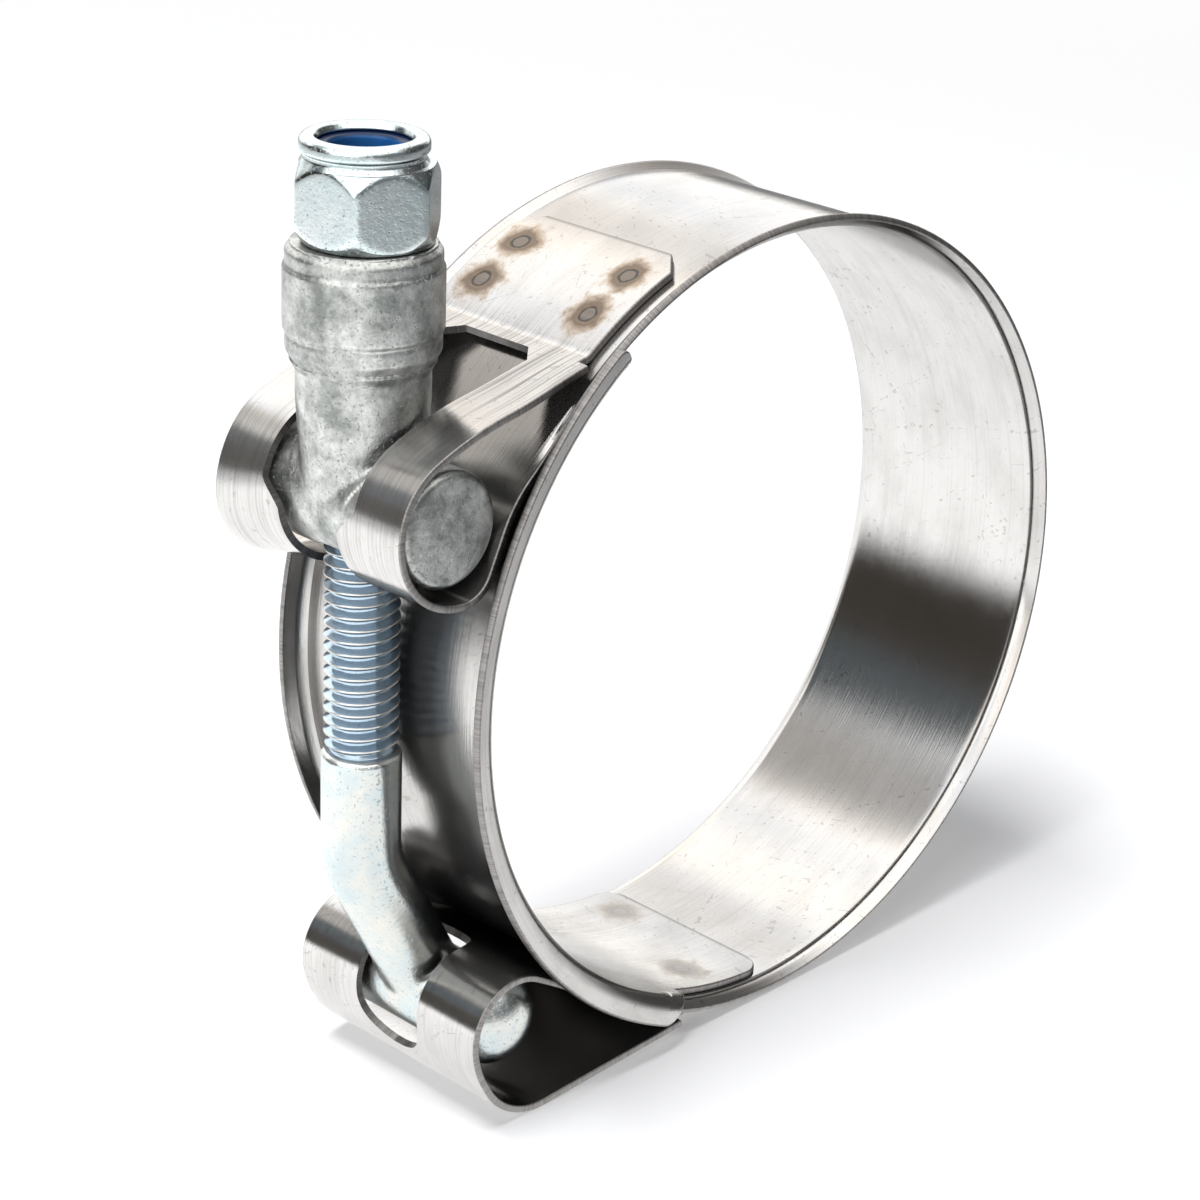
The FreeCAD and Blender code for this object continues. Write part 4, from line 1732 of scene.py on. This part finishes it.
def softened(node: bpy.types.Object, name: str, voxel: float, rounds: int,
             cut: tuple | None = None) -> bpy.types.Object:
    """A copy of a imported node, remeshed evenly and smoothed.

    Args:
        node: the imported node.
        name: piece name.
        voxel: grid size in millimetres.
        rounds: smoothing rounds.
        cut: point and direction of a plane past which the copy is cut off, or None.

    Returns:
        The piece.
    """
    work = bmesh.new()
    work.from_mesh(node.data)
    bmesh.ops.remove_doubles(work, verts=work.verts, dist=TINY)
    if cut:
        every = list(work.verts) + list(work.edges) + list(work.faces)
        bmesh.ops.bisect_plane(work, geom=every, plane_co=cut[0], plane_no=cut[1], clear_outer=True)
        bmesh.ops.holes_fill(work, edges=[e for e in work.edges if e.is_boundary])
    mesh = bpy.data.meshes.new(name)
    work.to_mesh(mesh)
    work.free()
    obj = bpy.data.objects.new(name, mesh)
    bpy.context.scene.collection.objects.link(obj)
    remesh = obj.modifiers.new("even", "REMESH")
    remesh.mode = "VOXEL"
    remesh.voxel_size = voxel * MM
    smooth = obj.modifiers.new("soften", "SMOOTH")
    smooth.factor = 0.5
    smooth.iterations = rounds
    bake_modifiers(obj)
    obj.data.polygons.foreach_set("use_smooth", np.ones(len(obj.data.polygons), bool))
    return obj


@dataclass
class TBolt:
    """The bolt: rolled thread, plain shank, bend and cross head."""

    frame: BoltFrame
    major_r: float = 2.95
    depth: float = 0.60
    pitch: float = 1.0
    crest_share: float = 0.04
    flank_share: float = 0.36
    top: float = 24.1
    bottom: float = -20.7
    tip_length: float = 0.6
    tip_depth: float = 0.75
    neck: float = 0.9
    neck_depth: float = 0.42
    shank_r: float = 3.15
    shank_voxel: float = 0.16
    shank_rounds: int = 6
    cut_below: float = 0.2
    head_ends: float = 7.0
    fillet_reach: float = 6.2
    fillet_rounds: int = 40
    columns: int = 64
    rows_per_pitch: int = 26

    def shoulder(self) -> np.ndarray:
        """Radius and height of the rings below the thread, where the blank grows to the shank."""
        low = self.bottom
        return np.array([
            [2.2, low - 1.2],
            [self.shank_r - 0.16, low - 0.90],
            [self.shank_r - 0.02, low - 0.50],
            [self.shank_r - 0.06, low - 0.28],
            [self.shank_r - 0.18, low - 0.12],
            [self.major_r - 0.20, low - 0.03],
        ])

    def thread_mesh(self) -> bpy.types.Object:
        """The rolled thread with its end chamfer and the neck below it.

        The radius at height s and angle a is the major radius less the depth
        times a trapezoid wave of s / pitch - a / turn, so the crests climb as a
        right-hand helix.

        Returns:
            The piece.
        """
        rows = int((self.top - self.bottom) * self.rows_per_pitch / self.pitch)
        s = np.linspace(self.bottom, self.top, rows)[:, None]
        a = 2.0 * np.pi * np.arange(self.columns)[None] / self.columns
        phase = (s / self.pitch - a / (2.0 * np.pi)) % 1.0
        wave = np.clip((np.abs(phase - 0.5) - self.crest_share) / self.flank_share, 0.0, 1.0)
        tip = np.clip((self.top - s) / self.tip_length, 0.0, 1.0)
        r = np.minimum(self.major_r - self.depth * wave, self.major_r - self.tip_depth * (1.0 - tip))
        fade = smoothstep((s - self.bottom) / self.neck)
        r = (self.major_r - self.neck_depth) * (1.0 - fade) + r * fade
        shoulder = self.shoulder()
        below = turned_rows(shoulder[:, :1], shoulder[:, 1:], a)
        end_face = turned_rows(np.array([[1.6], [0.4]]), self.top, a)
        grid = np.concatenate([below, turned_rows(r, s, a), end_face])
        verts = self.frame.seat(grid.reshape(-1, 3))
        obj = mesh_object("bolt_thread", verts, wrapped_quads(len(grid), self.columns), sharp=60.0)
        # painted highlight on the crests, and the shoulder rings in the shank's pale tone
        crest_glint_and_shoulder_tone = np.zeros(grid.shape[:2])
        crest_glint_and_shoulder_tone[:len(shoulder)] = 0.8
        crest_glint_and_shoulder_tone[len(shoulder):len(shoulder) + rows] = np.clip(1.0 - 6.0 * wave, 0.0, 1.0) * fade
        add_value(obj, "crest_glint_and_shoulder_tone", crest_glint_and_shoulder_tone.ravel())
        repair(obj, fill=True)
        return obj

    def build(self, node: bpy.types.Object) -> tuple:
        """Makes the bolt.

        Args:
            node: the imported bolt.

        Returns:
            The threaded part and the forged part.
        """
        cut_at = self.frame.on_axis(self.bottom - self.cut_below) * MM
        cut = (Vector(cut_at), Vector(self.frame.axis))
        forged = softened(node, "bolt_shank_and_head", self.shank_voxel, self.shank_rounds, cut)
        self.blend(forged)
        return self.thread_mesh(), forged

    def blend(self, forged: bpy.types.Object) -> None:
        """Smooths the fillet between the bent shank and the cross head.

        The vertices within fillet_reach of the middle of the head are relaxed
        by a smoothing modifier.

        Args:
            forged: the shank with its head.
        """
        points = vertex_points(forged) / MM
        ends = points[np.abs(points[:, 1]) > self.head_ends]
        middle = np.array([ends[:, 0].mean(), 0.0, ends[:, 2].mean()])
        near = np.flatnonzero(np.linalg.norm(points - middle, axis=1) < self.fillet_reach)
        group = forged.vertex_groups.new(name="fillet")
        group.add(near.tolist(), 1.0, "REPLACE")
        smooth = forged.modifiers.new("fillet", "SMOOTH")
        smooth.factor = 0.5
        smooth.iterations = self.fillet_rounds
        smooth.vertex_group = "fillet"
        bake_modifiers(forged)

    def dress(self, effects: Effects, node: bpy.types.Object) -> None:
        """Makes the bolt and gives both its parts their finish.

        Args:
            effects: the shared node groups.
            node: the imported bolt.
        """
        rolled = Plating("thread plating", (0.56, 0.73, 0.88, 1.0), (0.70, 0.84, 0.96, 1.0),
                         roughness=0.16, size=0.8, relief=0.08, metallic=0.80)
        plain = Plating("bolt plating", (0.76, 0.86, 0.88, 1.0), (0.97, 0.96, 0.89, 1.0),
                        roughness=0.25, size=0.9, relief=0.25)
        for piece, finish in zip(self.build(node), (rolled, plain)):
            put_on(piece, [effects.material(finish)], Body.BOLT, "t_bolt")


@dataclass
class LockNut:
    """Hexagon nut with a collar rolled over a plastic ring."""

    frame: BoltFrame
    seat: float = 19.8
    flats: float = 9.85
    turn: float = 39.7
    corner_order: float = 50.0
    edge_order: float = 70.0
    off_centre: float = 0.28
    off_angle: float = -44.141
    hex_height: float = 5.8
    chamfer: float = 1.25
    hole_chamfer: float = 0.35
    face_inset: float = 0.4
    groove_r: float = 4.5
    groove: float = 0.75
    collar_r: float = 4.78
    collar: float = 1.25
    bore_r: float = 3.05
    mouth_r: float = 3.45
    ring_low: float = 5.5
    ring_high: float = 7.15
    ring_seat_r: float = 4.0
    ring_hole_r: float = 2.75
    columns: int = 240
    rows: int = 64

    def hexagon(self) -> tuple:
        """The hexagon's skin, bored through.

        The side's radius is a soft minimum, by a power mean of high order, of
        the six flats flats / 2 / cos(a - flat), and of both chamfer cones,
        whose radius grows with the distance from the end face.

        Returns:
            Points and quads.
        """
        a = 2.0 * np.pi * np.arange(self.columns) / self.columns
        flat = self.flats / 2.0
        faces = np.cos(a[None] - np.radians(np.arange(0, 360, 60))[:, None])
        order = self.corner_order
        side = flat * (np.clip(faces, 0.0, None) ** order).sum(0) ** (-1.0 / order)
        slope = flat * (1.0 / math.cos(math.pi / 6.0) - 1.0) / self.chamfer
        high = self.hex_height
        z = high * (0.5 - 0.5 * np.cos(np.linspace(0.0, np.pi, self.rows)))[:, None]
        soft = self.edge_order
        cones = (flat + z * slope) ** -soft + (flat + (high - z) * slope) ** -soft
        r = (side[None] ** -soft + cones) ** (-1.0 / soft)
        under = np.array([[self.bore_r, self.hole_chamfer], [self.bore_r + self.hole_chamfer, 0.0],
                          [flat - self.face_inset, -0.01]])
        over = np.array([[flat - self.face_inset, high + 0.01], [self.groove_r - 0.1, high + 0.01],
                         [self.bore_r, high]])
        ends = [turned_rows(rings[:, :1], rings[:, 1:], a) for rings in (under, over)]
        grid = np.concatenate([ends[0], turned_rows(r, z, a), ends[1]])
        turn = math.radians(self.turn - 30.0)
        c, s = math.cos(turn), math.sin(turn)
        spin = np.array([[c, s, 0.0], [-s, c, 0.0], [0.0, 0.0, 1.0]])
        off = np.append(polar(self.off_angle, self.off_centre), 0.0)
        return grid.reshape(-1, 3) @ spin + off, wrapped_quads(len(grid), self.columns, True)

    def collar_loop(self) -> np.ndarray:
        """The rolled collar's profile: neck, round shoulder, mouth, ring seat and bore.

        Returns:
            The closed loop's points.
        """
        foot = self.hex_height - 0.02
        neck = self.hex_height + self.groove
        top = neck + self.collar
        return rounded_loop([
            (self.groove_r + 0.25, foot, 0.0),
            (self.groove_r, neck - 0.35, 0.35),
            (self.groove_r, neck - 0.05, 0.15),
            (self.collar_r, neck + 0.18, 0.3),
            (self.collar_r, top, 0.60),
            (self.mouth_r + 0.25, top - 0.04, 0.35),
            (self.mouth_r, top - 0.5, 0.2),
            (self.mouth_r, self.ring_high, 0.15),
            (self.ring_seat_r, self.ring_high, 0.0),
            (self.ring_seat_r, self.ring_low, 0.0),
            (self.bore_r, self.ring_low, 0.0),
            (self.bore_r, foot, 0.0),
        ], 6)

    def ring_loop(self) -> np.ndarray:
        """The plastic ring's profile, with a little room all round it.

        Returns:
            The closed loop's points.
        """
        play = 0.02
        outer = self.ring_seat_r - play
        return rounded_loop([
            (self.ring_hole_r, self.ring_low + play, 0.2),
            (outer, self.ring_low + play, 0.1),
            (outer, self.ring_high - play, 0.1),
            (self.ring_hole_r, self.ring_high - 0.1, 0.35),
        ], 5)

    def seated(self, name: str, surface: tuple, sharp: float) -> bpy.types.Object:
        """A closed piece at the nut's place on the bolt.

        Args:
            name: piece name.
            surface: points and quads, from the nut's seat upwards.
            sharp: edges that bend more than this many degrees stay sharp.

        Returns:
            The piece.
        """
        points, quads = surface
        lift = np.array([0.0, 0.0, self.seat])
        return mesh_object(name, self.frame.seat(points + lift), quads, sharp=sharp)

    def build(self) -> tuple:
        """Makes the nut.

        Returns:
            The hexagon, the collar and the plastic ring.
        """
        body = self.seated("nut_hexagon", self.hexagon(), 24.0)
        points, quads = lathe(self.collar_loop(), 128)
        collar = self.seated("nut_collar", (points, quads[:, ::-1]), 40.0)
        points, quads = lathe(self.ring_loop(), 96)
        ring = self.seated("nylon_ring", (points, quads), 50.0)
        add_value(ring, "top", np.clip((points[:, 2] - self.ring_high + 0.30) / 0.15, 0.0, 1.0))
        for piece in (body, collar, ring):
            repair(piece)
        return body, collar, ring

    def dress(self, effects: Effects) -> None:
        """Makes the nut and gives its steel and its ring their finish.

        Args:
            effects: the shared node groups.
        """
        plating = Plating("nut plating", (0.80, 0.93, 0.95, 1.0), (0.94, 1.0, 1.0, 1.0),
                          roughness=0.15, size=0.8, relief=0.26, pitting=0.45)
        body, collar, ring = self.build()
        for piece in (body, collar):
            put_on(piece, [effects.material(plating)], Body.NUT, "nut")
        put_on(ring, [effects.material(Nylon())], Body.NUT, "locking_ring")


@dataclass(frozen=True)
class Camera:
    """The photograph's view: a turned and rolled camera whose axis passes beside the ring's centre."""

    azimuth: float = -44.141
    elevation: float = 23.48
    roll: float = 0.2
    distance: float = 273.39
    across: float = -7.638
    up: float = -1.102
    pixels_per_mm: float = 11.933
    image: float = 1200.0
    sensor: float = 36.0

    def place(self) -> None:
        """Adds the camera to the scene."""
        a, e, p = (math.radians(v) for v in (self.azimuth, self.elevation, self.roll))
        back = Vector((math.sin(a) * math.cos(e), -math.cos(a) * math.cos(e), math.sin(e)))
        level = Vector((math.cos(a), math.sin(a), 0.0))
        above = back.cross(level)
        right = level * math.cos(p) + above * math.sin(p)
        upright = above * math.cos(p) - level * math.sin(p)
        where = (back * self.distance + right * self.across + upright * self.up) * MM
        data = bpy.data.cameras.new("camera")
        data.sensor_fit = "HORIZONTAL"
        data.sensor_width = self.sensor
        data.lens = self.pixels_per_mm * self.distance / self.image * self.sensor
        data.clip_start = 0.01
        data.clip_end = 20.0
        camera = bpy.data.objects.new("camera", data)
        bpy.context.scene.collection.objects.link(camera)
        matrix = camera.matrix_world.copy()
        for column, way in enumerate((right, upright, back, where)):
            for row in range(3):
                matrix[row][column] = way[row]
        camera.matrix_world = matrix
        bpy.context.scene.camera = camera


@dataclass
class Studio:
    """White floor, soft lamps and a bright room with dark openings that the steel mirrors."""

    floor_z: float
    fill: float = 0.22
    gleam: float = 1.42

    def floor(self) -> None:
        """A white floor that keeps the clamp's soft shadow.

        The camera sees it blend to plain white away from the clamp. The steel
        mirrors it darker on the camera's side and far off, and painted shade
        darkens it in a spot under the clamp, standing in for the clamp's shadow.
        """
        size = 3.0
        corners = np.array([[-size, -size], [size, -size], [size, size], [-size, size]]) / MM
        verts = np.concatenate([corners, np.full((4, 1), self.floor_z)], axis=1)
        obj = mesh_object("floor", verts, np.array([[0, 1, 2, 3]]))
        material = bpy.data.materials.new("white floor")
        material.use_nodes = True
        t = Tree(material.node_tree)
        nodes = material.node_tree.nodes
        nodes.remove(nodes["Principled BSDF"])
        place = t.add("TexCoord").outputs["Object"]
        backwards = (-5.0, 2.4, 0.0)
        # centre of the spot of painted shade in the floor that the steel mirrors
        under = (-0.065, -0.03, self.floor_z * MM)
        behind = t.add("VectorMath", {0: place, 1: backwards}, operation="DOT_PRODUCT").outputs["Value"]
        away = t.add("VectorMath", {0: place}, operation="LENGTH").outputs["Value"]
        shade_spot_gap = t.add("VectorMath", {0: place, 1: under}, operation="DISTANCE").outputs["Value"]
        level = t.ramp(t.math("ADD", behind, 0.5), [(0.0, 0.07), (0.45, 0.85), (0.8, 1.0)], "EASE")
        level = t.math("MULTIPLY", level, t.ramp(away, [(0.22, 1.0), (0.42, 0.42)], "EASE"))
        # painted shade: the floor that the steel mirrors is dimmed in a spot under the clamp, standing in for its
        # shadow there
        level = t.math("MULTIPLY", level, t.ramp(shade_spot_gap, [(0.02, 0.78), (0.08, 1.0)], "EASE"))
        bleach = t.ramp(away, [(0.12, 0.18), (0.40, 0.95)])
        plain = t.add("BsdfDiffuse", {"Color": (0.93, 0.93, 0.94, 1.0)}).outputs[0]
        glow = t.add("Emission", {"Color": (1.0, 1.0, 1.0, 1.0), "Strength": 1.0}).outputs[0]
        mirrored = t.add("Emission", {"Color": level, "Strength": 1.15}).outputs[0]
        path = t.add("LightPath").outputs
        shown = t.add("MixShader", {0: bleach, 1: plain, 2: glow}).outputs[0]
        seen = t.add("MixShader", {0: path["Is Camera Ray"], 1: plain, 2: shown}).outputs[0]
        share = t.math("MULTIPLY", path["Is Glossy Ray"], 0.75)
        mix = t.add("MixShader", {0: share, 1: seen, 2: mirrored}).outputs[0]
        t.feed(nodes["Material Output"], {"Surface": mix})
        obj.data.materials.append(material)

    def room(self) -> None:
        """The world: white to the camera, and to the steel a room of soft boxes and dark gaps."""
        world = bpy.data.worlds.new("room")
        bpy.context.scene.world = world
        world.use_nodes = True
        t = Tree(world.node_tree)
        nodes = world.node_tree.nodes
        for node in list(nodes):
            nodes.remove(node)
        way = t.add("TexCoord").outputs["Generated"]
        path = t.add("LightPath").outputs
        seen = t.math("MAXIMUM", path["Is Camera Ray"], path["Is Transmission Ray"])
        soft = t.add("Background", {"Color": (0.92, 0.95, 1.0, 1.0), "Strength": self.fill}).outputs[0]
        mirror = {"Color": self.mirrored_room(t, way), "Strength": self.gleam}
        mirror = t.add("Background", mirror).outputs[0]
        white = t.add("Background", {"Color": (1.0, 1.0, 1.0, 1.0), "Strength": 1.0}).outputs[0]
        lit = t.add("MixShader", {0: path["Is Glossy Ray"], 1: soft, 2: mirror}).outputs[0]
        mix = t.add("MixShader", {0: seen, 1: lit, 2: white}).outputs[0]
        t.add("OutputWorld", {"Surface": mix})

    @staticmethod
    def lobe(t: Tree, way: Socket, towards: tuple, inner: float, outer: float) -> Socket:
        """A soft round patch of directions.

        Args:
            t: the world's tree.
            way: direction of the ray.
            towards: middle of the patch.
            inner: angle from the middle, in degrees, within which the patch is full.
            outer: angle past which it has gone.

        Returns:
            The patch's mask.
        """
        middle = tuple(Vector(towards).normalized())
        dot = t.add("VectorMath", {0: way, 1: middle}, operation="DOT_PRODUCT").outputs["Value"]
        low, high = math.cos(math.radians(outer)), math.cos(math.radians(inner))
        return t.add("MapRange", {0: dot, 1: low, 2: high}, interpolation_type="SMOOTHSTEP").outputs[0]

    def mirrored_room(self, t: Tree, way: Socket) -> Socket:
        """What the bright steel mirrors: a ceiling, soft boxes left and behind, dark gaps between.

        Each patch is a direction, its inner and outer angle, its colour and its strength.

        Args:
            t: the world's tree.
            way: direction of the ray.

        Returns:
            The room's colour.
        """
        height = t.add("SeparateXYZ", {0: way}).outputs[2]
        room = t.ramp(height, [(0.0, (0.10, 0.095, 0.09, 1.0)), (0.16, (0.18, 0.175, 0.17, 1.0)),
                               (0.46, (0.95, 0.96, 0.97, 1.0)), (0.70, (1.0, 1.0, 1.0, 1.0))], "EASE")
        patches = [
            ((-1.0, -0.30, 0.34), 22.0, 38.0, (1.0, 1.0, 1.0, 1.0), 0.97),
            ((0.62, 0.72, 0.42), 30.0, 54.0, (1.0, 0.99, 0.97, 1.0), 0.98),
            ((0.95, -0.45, 0.20), 24.0, 50.0, (0.03, 0.03, 0.03, 1.0), 0.96),
            ((0.15, -1.0, 0.08), 16.0, 36.0, (0.12, 0.13, 0.14, 1.0), 0.92),
            ((-0.34, 0.66, 0.67), 8.0, 17.0, (0.25, 0.25, 0.25, 1.0), 0.90),
            ((-0.68, 0.66, 0.26), 16.0, 25.0, (0.022, 0.018, 0.014, 1.0), 0.98),
            ((-0.60, 0.66, 0.47), 5.0, 12.0, (0.06, 0.075, 0.085, 1.0), 0.90),
            ((0.50, 0.66, 0.57), 4.0, 12.0, (0.30, 0.30, 0.31, 1.0), 0.40),
        ]
        for towards, inner, outer, colour, share in patches:
            mask = t.math("MULTIPLY", self.lobe(t, way, towards, inner, outer), share)
            room = t.mix(mask, room, colour)
        bars = t.noise(t.stretched(way, (1.0, 1.0, 0.25)), 4.0, 2.0, 0.5)
        tones = t.ramp(bars, [(0.36, (0.78, 0.80, 0.84, 1.0)), (0.50, (1.0, 0.99, 0.98, 1.0)),
                              (0.66, (1.0, 0.94, 0.88, 1.0))])
        return t.mix(1.0, room, tones, "MULTIPLY")

    def lamp(self, name: str, place: tuple, size: float, power: float) -> None:
        """A square soft lamp that looks at the clamp.

        Args:
            name: lamp name.
            place: where it hangs, in metres.
            size: its side in metres.
            power: its power in watts.
        """
        data = bpy.data.lights.new(name, "AREA")
        data.shape = "SQUARE"
        data.size = size
        data.energy = power
        obj = bpy.data.objects.new(name, data)
        bpy.context.scene.collection.objects.link(obj)
        where = Vector(place)
        obj.matrix_world = where.to_track_quat("Z", "Y").to_matrix().to_4x4()
        obj.location = where
        obj.visible_glossy = False

    def build(self) -> None:
        """Sets up the whole studio."""
        self.floor()
        self.room()
        self.lamp("top softbox", (-0.20, 0.05, 0.75), 0.35, 6.6)
        self.lamp("left softbox", (-0.75, -0.20, 0.40), 0.4, 3.0)
        self.lamp("back softbox", (0.30, 0.7, 0.5), 0.5, 0.9)


def main() -> None:
    """Builds the clamp's pieces in order, then the camera and the studio."""
    logging.basicConfig(level=logging.INFO, format="%(message)s")
    bore = next(m for m in frame["record"]["mounts"] if m["name"] == "hose_bore")
    sizes = RingSizes(bore_r=bore["dims"]["r_mm"])
    place = BoltFrame.read(frame["joints"])
    nodes = frame["nodes"]
    effects = Effects()
    Band(sizes, place).dress(effects)
    Bridge(sizes).dress(effects)
    Trunnion(place).dress(effects, nodes["trunnion"])
    TBolt(place).dress(effects, nodes["t_bolt"])
    LockNut(place).dress(effects)
    Camera().place()
    low, _ = cad_box
    Studio(floor_z=low[2] / MM).build()
    bpy.context.scene.view_settings.view_transform = "Standard"


if __name__ == "__main__":
    main()
